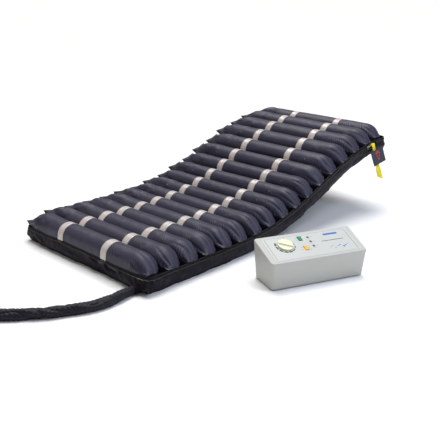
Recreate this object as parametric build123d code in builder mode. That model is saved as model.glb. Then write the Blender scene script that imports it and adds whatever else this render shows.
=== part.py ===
"""Alternating pressure mattress with its air hose and control unit.

Millimetres, +Z up, +Y from the foot end to the head end, +X to the side that carries the air lines.
The origin is on the underside, in the middle of the flat foot section, where the bed carries it.
"""
from math import cos, radians, sin, tan
import os

from build123d import *

os.makedirs("parts", exist_ok=True)

# ---------------------------------------------------------------- driving dimensions: mattress
CELL_PITCH = 114.5
CELL_TILTS = [0, 0, 0, 0, 1, 3, 6.5, 10.5, 14.8, 19, 22.3, 23.3, 22.3, 19, 14, 8.5, 3.5]
MATTRESS_WIDTH = 900
FLAT_CELLS = 4
SECTIONS = {
    "foot": (1, 5),
    "thigh": (6, 7),
    "hip": (8, 9),
    "back": (10, 13),
    "shoulder": (14, 15),
    "head": (16, 17),
}
SECTION_GAP = 12

CELL_WIDTH = 94
CELL_HEIGHT = 146
CELL_LEFT = -430
CELL_RIGHT = 415
CELL_END_ROUND = 24
CELL_SKIN = 0.8
PORT_HEIGHT = 40
PORT_RADIUS = 3.5

COVER_FLOOR = 5
COVER_WALL = 5
COVER_HEIGHT = 75

BAND_OFFSET = 160
BAND_WIDTH = 40
BAND_THICKNESS = 1.2
BAND_CLEARANCE = 0.3

# ---------------------------------------------------------------- driving dimensions: air lines and hose
LINE_RADIUS = 4.5
LINE_BORE = 3.0
LINE_A = (423, 14)
LINE_B = (435, 28)
TEE_SIZE = 12
HOSE_X = 390
HOSE_HEIGHT = 21
HOSE_RADIUS = 20
HOSE_WALL = 4
COLLAR_LENGTH = 22
COLLAR_RADIUS = 20.5
CONNECTOR_SIZE = (44, 26, 52)
CONNECTOR_CORNER = 8
BARB_RADIUS = 6
BARB_BORE = 4
BARB_LENGTH = 14
BARB_SPACING = 20

# ---------------------------------------------------------------- driving dimensions: quick deflate valve
OPENING_HALF = 46
RELEASE_SHIFT = 42
OPENING_SILL = 38
VALVE_SPACING = 25
VALVE_PORTS = (-VALVE_SPACING, 0, VALVE_SPACING)
VALVE_HEIGHT = 57
PLUG_RADIUS = 4.0
PLUG_PLAY = 0.08
STRAP_WIDTH = 25
STRAP_THICKNESS = 1.6
HANG_ANGLE = 15
TAG_SIZE = (130, 85)
TAG_THICKNESS = 1.8
TAG_X = 485
TAG_HEIGHT = 42

# ---------------------------------------------------------------- driving dimensions: control unit
UNIT_WIDTH = 500
UNIT_DEPTH = 176
UNIT_FRONT = 125
UNIT_BACK = 186
UNIT_DRAFT = 16
UNIT_CORNER = 16
UNIT_WALL = 3
UNIT_X = 800
UNIT_Y = 425
UNIT_TURN = 67
FOOT_HEIGHT = 5
BASE_TOP = 11
PANEL_SIZE = (436, 150)
PANEL_THICKNESS = 0.8
KNOB_AT = (-126, 14)
KNOB_RADIUS = 37
KNOB_DISC = 7
KNOB_GRIP = (16, 12)
SHAFT_RADIUS = 4
SHAFT_PLAY = 0.08
ROCKER_AT = {"power_rocker": (-38, 44), "mode_rocker": (-38, -20)}
ROCKER_SIZE = (18, 25)
ROCKER_TILT = 7
LENS_X = 4
LENS_ROWS = (46, 17, -13)
LENS_RADIUS = 4
ROTOR_RADIUS = 13
OUTLET_AT = (-142, 128)
OUTLET_SPACING = 24
INLET_AT = (175, 50)
HOOK_ROD = (97, 62)
HOOK_GAP = 32
HOOK_LENGTH = 56
HOOK_STRIP = (5, 24)
HOOK_TIP = 32
HOOK_LUGS = (-112, 98)
HOOK_PLACES = (-85, 61)
LUG_WIDTH = 14
LUG_RADIUS = 9
ROD_RADIUS = 4

# ---------------------------------------------------------------- driving dimensions: inside the control unit
COMPRESSOR_AT = (-150, 0)
COMPRESSOR_BASE = (96, 92, 8)
COIL_SIZE = (70, 26, 52)
HEAD_RADIUS = 26
HEAD_WIDTH = 14
HEAD_SPACING = 68
ARM_HEIGHT = 34
BLOCK_SIZE = (58, 46, 24)
BLOCK_DROP = 14
ROTOR_CHAMBER = 10
MOTOR_RADIUS = 22
MOTOR_LENGTH = 18
ROTOR_SHAFT = 3
BOARD_AT = (60, 8)
BOARD_SIZE = (136, 96, 1.6)
PILLAR_HEIGHT = 8


def save(piece, name):
    """Label a finished piece and write it as one STEP file."""
    piece.part.label = name
    export_step(piece.part, f"parts/{name}.step")


# ---------------------------------------------------------------- the mattress's side line
def underside_edges():
    """Points (y, z) on the underside between neighbouring cells, from the foot to the head."""
    edges = [(-FLAT_CELLS * CELL_PITCH / 2, 0.0)]
    for tilt in CELL_TILTS:
        y, z = edges[-1]
        edges.append((y + CELL_PITCH * cos(radians(tilt)), z + CELL_PITCH * sin(radians(tilt))))
    return edges


EDGES = underside_edges()
CELL_COUNT = len(CELL_TILTS)


def cross_plane(cell, x, along=0.0):
    """Plane across the width at a cell: local x runs towards the head, local y up from the underside."""
    tilt = radians(CELL_TILTS[cell - 1])
    (y_low, z_low), (y_high, z_high) = EDGES[cell - 1], EDGES[cell]
    origin = (
        x,
        (y_low + y_high) / 2 + along * cos(tilt),
        (z_low + z_high) / 2 + along * sin(tilt),
    )
    return Plane(origin=origin, x_dir=(0, cos(tilt), sin(tilt)), z_dir=(1, 0, 0))


def side_line(first, last, height):
    """Points (y, z) at one height over the underside, from cell first to cell last."""
    start_inset = 0 if first == 1 else SECTION_GAP / 2
    end_inset = 0 if last == CELL_COUNT else SECTION_GAP / 2
    tilt = radians(CELL_TILTS[first - 1])
    y, z = EDGES[first - 1]
    points = [(y + start_inset * cos(tilt) - height * sin(tilt), z + start_inset * sin(tilt) + height * cos(tilt))]
    for edge in range(first, last):
        before, after = CELL_TILTS[edge - 1], CELL_TILTS[edge]
        if before != after:
            middle = radians((before + after) / 2)
            reach = height / cos(radians(after - before) / 2)
            y, z = EDGES[edge]
            points.append((y - reach * sin(middle), z + reach * cos(middle)))
    tilt = radians(CELL_TILTS[last - 1])
    y, z = EDGES[last]
    points.append((y - end_inset * cos(tilt) - height * sin(tilt), z - end_inset * sin(tilt) + height * cos(tilt)))
    return points


# ---------------------------------------------------------------- air cells
def make_cell(number):
    """One closed air cell: a tall oval tube with rounded ends, a thin skin and an air port."""
    with BuildPart() as air_cell:
        with BuildSketch(cross_plane(number, CELL_LEFT)):
            with Locations((0, COVER_FLOOR + 1 + CELL_HEIGHT / 2)):
                RectangleRounded(CELL_WIDTH, CELL_HEIGHT, CELL_WIDTH / 2 - 0.1)
        extrude(amount=CELL_RIGHT - CELL_LEFT)
        ends = air_cell.faces().filter_by(Axis.X)
        fillet(ends.edges(), CELL_END_ROUND)
        offset(amount=-CELL_SKIN, mode=Mode.SUBTRACT)
        with BuildSketch(cross_plane(number, CELL_RIGHT)):
            with Locations((0, PORT_HEIGHT)):
                Circle(PORT_RADIUS)
        extrude(amount=-3 * CELL_SKIN, mode=Mode.SUBTRACT)
    save(air_cell, f"air_cell_{number:02d}")


# ---------------------------------------------------------------- base cover
def make_cover(section, first, last):
    """The tray under and around the cells of one section: a floor, two side walls, and any end wall."""
    half_width = MATTRESS_WIDTH / 2
    with BuildPart() as base_cover:
        with BuildSketch(Plane.YZ.offset(-half_width)):
            with BuildLine():
                Polyline(*side_line(first, last, 0), *reversed(side_line(first, last, COVER_FLOOR)), close=True)
            make_face()
        extrude(amount=MATTRESS_WIDTH)
        for inner_x in (-half_width, half_width - COVER_WALL):
            with BuildSketch(Plane.YZ.offset(inner_x)):
                with BuildLine():
                    Polyline(*side_line(first, last, 0), *reversed(side_line(first, last, COVER_HEIGHT)), close=True)
                make_face()
            extrude(amount=COVER_WALL)
        if first == 1:
            with BuildSketch(cross_plane(1, -half_width, -CELL_PITCH / 2 + COVER_WALL / 2)):
                Rectangle(COVER_WALL, COVER_HEIGHT, align=(Align.CENTER, Align.MIN))
            extrude(amount=MATTRESS_WIDTH)
            with BuildSketch(Plane.XZ.offset(-EDGES[0][0])):
                with Locations((HOSE_X, HOSE_HEIGHT)):
                    Circle(HOSE_RADIUS - HOSE_WALL)
            extrude(amount=-COVER_WALL, mode=Mode.SUBTRACT)
        if last == CELL_COUNT:
            with BuildSketch(cross_plane(last, -half_width, CELL_PITCH / 2 - COVER_WALL / 2)):
                Rectangle(COVER_WALL, COVER_HEIGHT, align=(Align.CENTER, Align.MIN))
            extrude(amount=MATTRESS_WIDTH)
            with BuildSketch(release_plane(half_width - COVER_WALL)):
                with Locations((0, OPENING_SILL)):
                    Rectangle(2 * OPENING_HALF, COVER_HEIGHT, align=(Align.CENTER, Align.MIN))
            extrude(amount=COVER_WALL, mode=Mode.SUBTRACT)
            with BuildSketch(release_plane(half_width)):
                with Locations((-TAG_SIZE[0] / 2 + 6, TAG_HEIGHT), (TAG_SIZE[0] / 2 - 6, TAG_HEIGHT)):
                    Rectangle(10, 3)
            extrude(amount=TAG_X - half_width - TAG_THICKNESS)
    save(base_cover, f"base_cover_{section}")


def release_plane(x):
    """Plane across the width at the quick deflate opening, beside the last cell but one."""
    tilt = radians(CELL_TILTS[-2])
    y, z = EDGES[-2]
    origin = (x, y - RELEASE_SHIFT * cos(tilt), z - RELEASE_SHIFT * sin(tilt))
    return Plane(origin=origin, x_dir=(0, cos(tilt), sin(tilt)), z_dir=(1, 0, 0))


# ---------------------------------------------------------------- holding bands
def make_bands(section, first, last):
    """Two fabric bands over every cell, sewn down to the floor between the cells."""
    half_width = CELL_WIDTH / 2 + BAND_CLEARANCE + BAND_THICKNESS
    crest = COVER_FLOOR + 1 + CELL_HEIGHT + BAND_CLEARANCE + BAND_THICKNESS
    with BuildPart() as cell_bands:
        for cell in range(first, last + 1):
            for side in (-BAND_OFFSET, BAND_OFFSET):
                with BuildSketch(cross_plane(cell, side - BAND_WIDTH / 2)):
                    with BuildLine():
                        Line((-half_width, COVER_FLOOR), (-half_width, crest - half_width))
                        ThreePointArc((-half_width, crest - half_width), (0, crest), (half_width, crest - half_width))
                        Line((half_width, crest - half_width), (half_width, COVER_FLOOR))
                        inner = half_width - BAND_THICKNESS
                        Line((half_width, COVER_FLOOR), (inner, COVER_FLOOR))
                        Line((inner, COVER_FLOOR), (inner, crest - half_width))
                        ThreePointArc(
                            (inner, crest - half_width), (0, crest - BAND_THICKNESS), (-inner, crest - half_width)
                        )
                        Line((-inner, crest - half_width), (-inner, COVER_FLOOR))
                        Line((-inner, COVER_FLOOR), (-half_width, COVER_FLOOR))
                    make_face()
                extrude(amount=BAND_WIDTH)
    save(cell_bands, f"cell_bands_{section}")


# ---------------------------------------------------------------- air lines inside the cover
def line_path(first, last, line):
    """Route of one line along its section; in the foot section it turns in from the hose collar."""
    x, height = line
    along = [(x, y, z) for y, z in side_line(first, last, height)]
    if first == 1:
        hose_side = HOSE_X - 6 if line == LINE_A else HOSE_X + 6
        lead_y = EDGES[0][0] + COVER_WALL + LINE_RADIUS + 1.5
        along = [(hose_side, EDGES[0][0], height), (hose_side, lead_y, height), (x, lead_y, height)] + along[1:]
    if last == CELL_COUNT:
        end_y, end_z = EDGES[-1]
        tilt = radians(CELL_TILTS[-1])
        short = COVER_WALL + 6
        along[-1] = (x, end_y - short * cos(tilt) - height * sin(tilt), end_z - short * sin(tilt) + height * cos(tilt))
    return along


def make_air_lines(section, first, last):
    """Two air lines along the side of the cells, with one tee for each cell, alternating between them."""
    with BuildPart() as air_lines:
        for line in (LINE_A, LINE_B):
            with BuildLine() as route:
                Polyline(*line_path(first, last, line))
            with BuildSketch(Plane(origin=route.line @ 0, z_dir=route.line % 0)):
                Circle(LINE_RADIUS)
                Circle(LINE_BORE, mode=Mode.SUBTRACT)
            sweep(transition=Transition.RIGHT)
        for cell in range(first, last + 1):
            x, height = LINE_A if cell % 2 else LINE_B
            base = height - TEE_SIZE / 2
            with BuildSketch(cross_plane(cell, x - TEE_SIZE / 2)):
                with Locations((0, base)):
                    Rectangle(TEE_SIZE, PORT_HEIGHT + TEE_SIZE / 2 - base, align=(Align.CENTER, Align.MIN))
            extrude(amount=TEE_SIZE)
            with BuildSketch(cross_plane(cell, x - TEE_SIZE / 2)):
                with Locations((0, PORT_HEIGHT)):
                    Circle(PORT_RADIUS)
                    Circle(PORT_RADIUS - 1, mode=Mode.SUBTRACT)
            extrude(amount=-(x - TEE_SIZE / 2 - CELL_RIGHT + CELL_SKIN))
        if last == CELL_COUNT:
            for x, height in (LINE_A, LINE_B):
                with BuildSketch(release_plane(x - LINE_BORE)):
                    with Locations((0, height + LINE_RADIUS - 1)):
                        Rectangle(
                            2 * LINE_BORE,
                            VALVE_HEIGHT - 10 - height - LINE_RADIUS + 1,
                            align=(Align.CENTER, Align.MIN),
                        )
                extrude(amount=2 * LINE_BORE)
    save(air_lines, f"air_lines_{section}")


# ---------------------------------------------------------------- quick deflate valve, strap and tag
def make_release():
    """Valve block with three plugged ports, the pull strap with its plugs, and the tag over them."""
    block_right = MATTRESS_WIDTH / 2 - 12
    block_left = CELL_RIGHT + 4
    with BuildPart() as release_valve:
        with BuildSketch(release_plane(block_left)):
            with Locations((0, VALVE_HEIGHT)):
                RectangleRounded(80, 20, 4)
        extrude(amount=block_right - block_left)
        with BuildSketch(release_plane(block_right)):
            with Locations(*[(port, VALVE_HEIGHT) for port in VALVE_PORTS]):
                Circle(PLUG_RADIUS + PLUG_PLAY)
        extrude(amount=-12, mode=Mode.SUBTRACT)
    save(release_valve, "release_valve")

    bar_left = block_right + 4.5
    with BuildPart() as release_plugs:
        with BuildSketch(release_plane(block_right - 10)):
            with Locations(*[(port, VALVE_HEIGHT) for port in VALVE_PORTS]):
                Circle(PLUG_RADIUS)
        extrude(amount=bar_left - block_right + 10)
        with BuildSketch(release_plane(block_right + 0.5)):
            with Locations(*[(port, VALVE_HEIGHT) for port in VALVE_PORTS]):
                Circle(PLUG_RADIUS + 3)
        extrude(amount=3)
        with BuildSketch(release_plane(bar_left)):
            with Locations((0, VALVE_HEIGHT)):
                RectangleRounded(64, 11, 3)
        extrude(amount=3)
    save(release_plugs, "release_plugs")

    strap_start = bar_left + 3
    drop = 196
    lean = drop * tan(radians(HANG_ANGLE))
    with BuildPart() as pull_strap:
        with BuildSketch(strap_plane()):
            with BuildLine() as centre_line:
                FilletPolyline(
                    (strap_start, VALVE_HEIGHT),
                    (strap_start + 4, VALVE_HEIGHT),
                    (strap_start + 10, VALVE_HEIGHT + 14),
                    (strap_start + 18, VALVE_HEIGHT + 10),
                    (strap_start + 18 + lean, VALVE_HEIGHT + 10 - drop),
                    radius=3,
                )
            trace(line_width=STRAP_THICKNESS)
        extrude(amount=STRAP_WIDTH / 2, both=True)
    save(pull_strap, "pull_strap")

    with BuildPart() as release_tag:
        with BuildSketch(tag_plane()):
            Rectangle(TAG_SIZE[0], TAG_SIZE[1], align=(Align.CENTER, Align.MAX))
        extrude(amount=TAG_THICKNESS)
    save(release_tag, "release_tag")


def strap_plane():
    """Plane along the strap: local x runs out from the side, local y up, centred on the valve."""
    middle = release_plane(0)
    return Plane(origin=middle.origin, x_dir=(1, 0, 0), z_dir=-middle.x_dir)


def tag_plane():
    """Plane of the tag: local x along the side, local y up the tag, hung outwards by the hang angle."""
    edge = release_plane(TAG_X)
    top = edge.from_local_coords((0, TAG_HEIGHT, 0))
    outward = Vector(1, 0, 0) * cos(radians(HANG_ANGLE)) + edge.y_dir * sin(radians(HANG_ANGLE))
    return Plane(origin=top, x_dir=edge.x_dir, z_dir=outward)


# ---------------------------------------------------------------- zip slider on the left side
def make_zip_slider():
    """Slider that clasps the top edge of the left wall, with its pull hanging outside."""
    wall_x = -MATTRESS_WIDTH / 2
    slider_y = EDGES[0][0] + 60
    with BuildPart() as zip_slider:
        with BuildSketch(Plane.XZ.offset(-slider_y - 6)):
            with Locations((wall_x + COVER_WALL / 2, COVER_HEIGHT - 1)):
                RectangleRounded(COVER_WALL + 4, 10, 1.5)
            with Locations((wall_x + COVER_WALL / 2, COVER_HEIGHT)):
                Rectangle(COVER_WALL + 0.6, 12, align=(Align.CENTER, Align.MAX), mode=Mode.SUBTRACT)
        extrude(amount=12)
        with BuildSketch(Plane.YZ.offset(wall_x - 3.4)):
            with Locations((slider_y, COVER_HEIGHT - 4)):
                SlotOverall(30, 8, rotation=90, align=(Align.MAX, Align.CENTER))
        extrude(amount=1.4)
    save(zip_slider, "zip_slider")


# ---------------------------------------------------------------- hose out of the foot end
HOSE_ROUTE = [
    (HOSE_X, EDGES[0][0] - COLLAR_LENGTH, HOSE_HEIGHT),
    (390, -303, HOSE_HEIGHT),
    (404, -376, HOSE_HEIGHT),
    (397, -452, HOSE_HEIGHT),
    (371, -519, HOSE_HEIGHT),
    (337, -582, HOSE_HEIGHT),
    (299, -642, HOSE_HEIGHT),
    (252, -704, HOSE_HEIGHT),
    (199, -763, HOSE_HEIGHT),
    (139, -818, HOSE_HEIGHT),
    (73, -867, HOSE_HEIGHT),
    (1, -905, HOSE_HEIGHT),
    (-75, -931, HOSE_HEIGHT),
]


def route_radii(points):
    """Largest even radius at each corner of a route: 0.45 of the shorter run over tan(half the turn)."""
    radii = []
    for before, corner, after in zip(points, points[1:], points[2:]):
        run_in = Vector(corner) - Vector(before)
        run_out = Vector(after) - Vector(corner)
        half_turn = radians(run_in.get_angle(run_out)) / 2
        radii.append(0.45 * min(run_in.length, run_out.length) / tan(half_turn))
    return radii


def make_hose():
    """Collar at the foot wall, the sleeve over the two hoses, and the quick connector at its end."""
    foot_y = EDGES[0][0]
    with BuildPart() as hose_collar:
        with BuildSketch(Plane.XZ.offset(-foot_y)):
            with Locations((HOSE_X, HOSE_HEIGHT)):
                Circle(COLLAR_RADIUS)
        with BuildSketch(Plane.XZ.offset(-foot_y + COLLAR_LENGTH)):
            with Locations((HOSE_X, HOSE_HEIGHT)):
                Circle(HOSE_RADIUS - 1)
        loft()
        with BuildSketch(Plane.XZ.offset(-foot_y)):
            with Locations((HOSE_X, HOSE_HEIGHT)):
                Circle(HOSE_RADIUS - HOSE_WALL)
        extrude(amount=COLLAR_LENGTH, mode=Mode.SUBTRACT)
    save(hose_collar, "hose_collar")

    radii = route_radii(HOSE_ROUTE)
    with BuildPart() as hose_sleeve:
        with BuildLine() as hose_line:
            FilletPolyline(*HOSE_ROUTE, radius=radii)
        with BuildSketch(Plane(origin=hose_line.line @ 0, z_dir=hose_line.line % 0)):
            Circle(HOSE_RADIUS)
            Circle(HOSE_RADIUS - HOSE_WALL, mode=Mode.SUBTRACT)
        sweep()
    save(hose_sleeve, "hose_sleeve")

    hose_end = Plane(origin=hose_line.line @ 1, x_dir=(0, 0, 1), z_dir=hose_line.line % 1)
    width, height, depth = CONNECTOR_SIZE
    barbs = [(0, -BARB_SPACING / 2), (0, BARB_SPACING / 2)]
    with BuildPart() as hose_connector:
        with BuildSketch(hose_end):
            RectangleRounded(height, width, CONNECTOR_CORNER)
        extrude(amount=depth)
        with BuildSketch(hose_end.offset(depth)):
            with Locations(*barbs):
                Circle(BARB_RADIUS)
        extrude(amount=BARB_LENGTH)
        with BuildSketch(hose_end.offset(depth / 2)):
            with Locations(*barbs):
                Circle(BARB_BORE)
        extrude(amount=depth / 2 + BARB_LENGTH, mode=Mode.SUBTRACT)
    save(hose_connector, "hose_connector")


# ---------------------------------------------------------------- control unit
UNIT = Plane(
    origin=(UNIT_X, UNIT_Y, 0),
    x_dir=(cos(radians(UNIT_TURN)), sin(radians(UNIT_TURN)), 0),
    z_dir=(0, 0, 1),
)
PANEL_SLOPE = Vector(0, UNIT_DEPTH, UNIT_BACK - UNIT_FRONT).normalized()


def unit_point(x, y, z):
    """Place of a point given in the unit's own axes: x along it, y to its back, z up."""
    return UNIT.from_local_coords((x, y, z))


def unit_side(x):
    """Plane across the unit: local x to its back, local y up."""
    return Plane(origin=unit_point(x, 0, 0), x_dir=UNIT.y_dir, z_dir=UNIT.x_dir)


def unit_back(y):
    """Plane facing the unit's back: local x along the unit towards its left end, local y up."""
    return Plane(origin=unit_point(0, y, 0), x_dir=-UNIT.x_dir, z_dir=UNIT.y_dir)


PANEL = Plane(
    origin=unit_point(0, 0, (UNIT_FRONT + UNIT_BACK) / 2),
    x_dir=UNIT.x_dir,
    z_dir=UNIT.y_dir * -PANEL_SLOPE.Z + UNIT.z_dir * PANEL_SLOPE.Y,
)


def make_case():
    """Upper case of the control unit: drafted walls under a sloping top, open below, with two hook lugs."""
    with BuildPart() as unit_case:
        with BuildSketch(UNIT.offset(BASE_TOP)):
            RectangleRounded(UNIT_WIDTH - 2 * UNIT_DRAFT, UNIT_DEPTH - UNIT_DRAFT, UNIT_CORNER)
        with BuildSketch(UNIT.offset(UNIT_BACK + 10)):
            RectangleRounded(UNIT_WIDTH, UNIT_DEPTH, UNIT_CORNER)
        loft()
        split(bisect_by=PANEL, keep=Keep.BOTTOM)
        fillet(unit_case.faces().sort_by(Axis.Z)[-1].edges(), 7)
        offset(amount=-UNIT_WALL, openings=unit_case.faces().sort_by(Axis.Z)[0])
        with BuildSketch(PANEL):
            with Locations(KNOB_AT):
                Circle(SHAFT_RADIUS + 1)
            with Locations(*ROCKER_AT.values()):
                Rectangle(ROCKER_SIZE[0] + 2, ROCKER_SIZE[1] + 2)
            with Locations(*[(LENS_X, row) for row in LENS_ROWS]):
                Circle(LENS_RADIUS)
        extrude(amount=-2 * UNIT_WALL, mode=Mode.SUBTRACT)
        with BuildSketch(unit_back(UNIT_DEPTH / 2 + 2)):
            with Locations(outlet_place(-1), outlet_place(1)):
                Circle(6)
            with Locations(INLET_AT):
                Rectangle(48, 28)
        extrude(amount=-4 * UNIT_WALL, mode=Mode.SUBTRACT)
        lug_root = back_wall(HOOK_ROD[1] - LUG_RADIUS) - 2
        for x in HOOK_LUGS:
            with BuildSketch(unit_side(x)):
                with Locations((lug_root, HOOK_ROD[1])):
                    Rectangle(HOOK_ROD[0] - lug_root, 2 * LUG_RADIUS, align=(Align.MIN, Align.CENTER))
                with Locations(HOOK_ROD):
                    Circle(LUG_RADIUS)
                    Circle(ROD_RADIUS + 0.1, mode=Mode.SUBTRACT)
            extrude(amount=LUG_WIDTH)
    save(unit_case, "unit_case")


def back_wall(height):
    """Distance of the case's back wall from its middle at one height."""
    share = (height - BASE_TOP) / (UNIT_BACK + 10 - BASE_TOP)
    return (UNIT_DEPTH - UNIT_DRAFT) / 2 + share * UNIT_DRAFT / 2 + 0.05


def outlet_place(side):
    """Centre of one air outlet on the back plane."""
    return (OUTLET_AT[0] + side * OUTLET_SPACING / 2, OUTLET_AT[1])


def make_unit_base():
    """Bottom plate with a locating rib, its rubber feet and the screws that hold the case."""
    feet = [(x, y) for x in (-190, 190) for y in (-55, 55)]
    screws = [(x, y) for x in (-205, 205) for y in (-40, 40)]
    with BuildPart() as unit_base:
        with BuildSketch(UNIT.offset(FOOT_HEIGHT)):
            RectangleRounded(UNIT_WIDTH - 2 * UNIT_DRAFT, UNIT_DEPTH - UNIT_DRAFT, UNIT_CORNER)
        extrude(amount=BASE_TOP - FOOT_HEIGHT)
        fillet(unit_base.faces().sort_by(Axis.Z)[0].edges(), 3)
        with BuildSketch(UNIT.offset(BASE_TOP)):
            rib = 2 * UNIT_WALL + 3
            RectangleRounded(UNIT_WIDTH - 2 * UNIT_DRAFT - rib, UNIT_DEPTH - UNIT_DRAFT - rib, UNIT_CORNER - 5)
            RectangleRounded(
                UNIT_WIDTH - 2 * UNIT_DRAFT - rib - 5,
                UNIT_DEPTH - UNIT_DRAFT - rib - 5,
                UNIT_CORNER - 7,
                mode=Mode.SUBTRACT,
            )
        extrude(amount=6)
        with BuildSketch(UNIT.offset(FOOT_HEIGHT)):
            with Locations(*screws):
                Circle(4.2)
        extrude(amount=4, mode=Mode.SUBTRACT)
    save(unit_base, "unit_base")

    with BuildPart() as rubber_feet:
        with BuildSketch(UNIT):
            with Locations(*feet):
                Circle(9)
        extrude(amount=FOOT_HEIGHT)
    save(rubber_feet, "rubber_feet")

    with BuildPart() as base_screws:
        with BuildSketch(UNIT.offset(FOOT_HEIGHT + 1)):
            with Locations(*screws):
                Circle(4)
        extrude(amount=3)
        with BuildSketch(UNIT.offset(FOOT_HEIGHT + 1)):
            with Locations(*screws):
                Rectangle(5, 1)
                Rectangle(1, 5)
        extrude(amount=1.2, mode=Mode.SUBTRACT)
    save(base_screws, "base_screws")


def make_controls():
    """Label panel, pressure knob, two rockers and three indicator lenses on the sloping top."""
    with BuildPart() as control_panel:
        with BuildSketch(PANEL):
            RectangleRounded(*PANEL_SIZE, 3)
            with Locations(KNOB_AT):
                Circle(SHAFT_RADIUS + 1, mode=Mode.SUBTRACT)
            with Locations(*ROCKER_AT.values()):
                Rectangle(ROCKER_SIZE[0] + 2, ROCKER_SIZE[1] + 2, mode=Mode.SUBTRACT)
            with Locations(*[(LENS_X, row) for row in LENS_ROWS]):
                Circle(LENS_RADIUS, mode=Mode.SUBTRACT)
        extrude(amount=PANEL_THICKNESS)
    save(control_panel, "control_panel")

    seat = PANEL_THICKNESS + 0.6
    with BuildPart() as pressure_knob:
        with BuildSketch(PANEL.offset(seat)):
            with Locations(KNOB_AT):
                Circle(KNOB_RADIUS)
        extrude(amount=KNOB_DISC, taper=6)
        fillet(pressure_knob.faces().sort_by(Axis.Z)[-1].edges(), 2)
        with BuildSketch(PANEL.offset(seat + KNOB_DISC - 2)):
            with Locations(KNOB_AT):
                SlotOverall(2 * KNOB_RADIUS - 6, KNOB_GRIP[0], rotation=-32)
        extrude(amount=KNOB_GRIP[1] - KNOB_DISC + 2, taper=5)
        fillet(pressure_knob.faces().sort_by(Axis.Z)[-1].edges(), 1.5)
        with BuildSketch(PANEL.offset(seat)):
            with Locations(KNOB_AT):
                Circle(SHAFT_RADIUS)
        extrude(amount=-26)
    save(pressure_knob, "pressure_knob")

    for name, (x, y) in ROCKER_AT.items():
        pivot = PANEL.from_local_coords((x - ROCKER_SIZE[0] / 2, y, -4))
        along = PANEL.y_dir * cos(radians(ROCKER_TILT)) + PANEL.z_dir * sin(radians(ROCKER_TILT))
        half = ROCKER_SIZE[1] / 2
        with BuildPart() as rocker:
            with BuildSketch(Plane(origin=pivot, x_dir=along, z_dir=PANEL.x_dir)):
                with BuildLine():
                    Polyline((-half, -2), (-half, 9), (0, 6.6), (half, 9), (half, -2), close=True)
                make_face()
            extrude(amount=ROCKER_SIZE[0])
            fillet(rocker.edges().filter_by(Axis(origin=(0, 0, 0), direction=PANEL.x_dir)).group_by(Axis.Z)[-1], 1)
        save(rocker, name)

    with BuildPart() as indicator_lenses:
        with BuildSketch(PANEL.offset(-UNIT_WALL)):
            with Locations(*[(LENS_X, row) for row in LENS_ROWS]):
                Circle(LENS_RADIUS)
        extrude(amount=UNIT_WALL + PANEL_THICKNESS + 2)
        fillet(indicator_lenses.faces().filter_by(PANEL).group_by(Axis.Z)[-1].edges(), 1)
    save(indicator_lenses, "indicator_lenses")


def make_sockets():
    """Air outlets and mains inlet in the back wall."""
    wall_out = back_wall(OUTLET_AT[1] + 13)
    with BuildPart() as air_outlets:
        with BuildSketch(unit_back(wall_out)):
            with Locations(OUTLET_AT):
                RectangleRounded(60, 26, 5)
        extrude(amount=4)
        with BuildSketch(unit_back(wall_out - 12)):
            with Locations(outlet_place(-1), outlet_place(1)):
                Circle(5.5)
        extrude(amount=16)
        with BuildSketch(unit_back(wall_out + 4)):
            with Locations(outlet_place(-1), outlet_place(1)):
                Circle(5)
        extrude(amount=18)
        with BuildSketch(unit_back(wall_out - 12)):
            with Locations(outlet_place(-1), outlet_place(1)):
                Circle(3)
        extrude(amount=35, mode=Mode.SUBTRACT)
    save(air_outlets, "air_outlets")

    wall_out = back_wall(INLET_AT[1] + 17)
    with BuildPart() as mains_inlet:
        with BuildSketch(unit_back(wall_out)):
            with Locations(INLET_AT):
                RectangleRounded(58, 34, 3)
        extrude(amount=2)
        with BuildSketch(unit_back(wall_out)):
            with Locations(INLET_AT):
                Rectangle(47, 27)
        extrude(amount=-28)
        with BuildSketch(unit_back(wall_out + 2)):
            with Locations((INLET_AT[0] - 8, INLET_AT[1])):
                RectangleRounded(25, 17, 3)
        extrude(amount=-18, mode=Mode.SUBTRACT)
        with BuildSketch(unit_back(wall_out - 16)):
            with Locations(*[(INLET_AT[0] - 8 + dx, INLET_AT[1]) for dx in (-7, 0, 7)]):
                Rectangle(2, 4)
        extrude(amount=14)
    save(mains_inlet, "mains_inlet")


def make_hooks():
    """Two bed hooks on one rod behind the case, turned up to hang over a bed's foot board."""
    rod_y, rod_z = HOOK_ROD
    strip, wide = HOOK_STRIP
    near = rod_y - ROD_RADIUS
    far = near + strip + HOOK_GAP
    top = rod_z + HOOK_LENGTH
    with BuildPart() as bed_hooks:
        with BuildSketch(unit_side(HOOK_LUGS[0])):
            with Locations(HOOK_ROD):
                Circle(ROD_RADIUS)
        extrude(amount=HOOK_LUGS[1] - HOOK_LUGS[0] + LUG_WIDTH)
        for x in HOOK_PLACES:
            with BuildSketch(unit_side(x)):
                with BuildLine():
                    Polyline(
                        (near, rod_z),
                        (near, top),
                        (far + strip, top),
                        (far + strip, top - HOOK_TIP),
                        (far, top - HOOK_TIP),
                        (far, top - strip),
                        (near + strip, top - strip),
                        (near + strip, rod_z),
                        close=True,
                    )
                make_face()
            extrude(amount=wide)
    save(bed_hooks, "bed_hooks")


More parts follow.
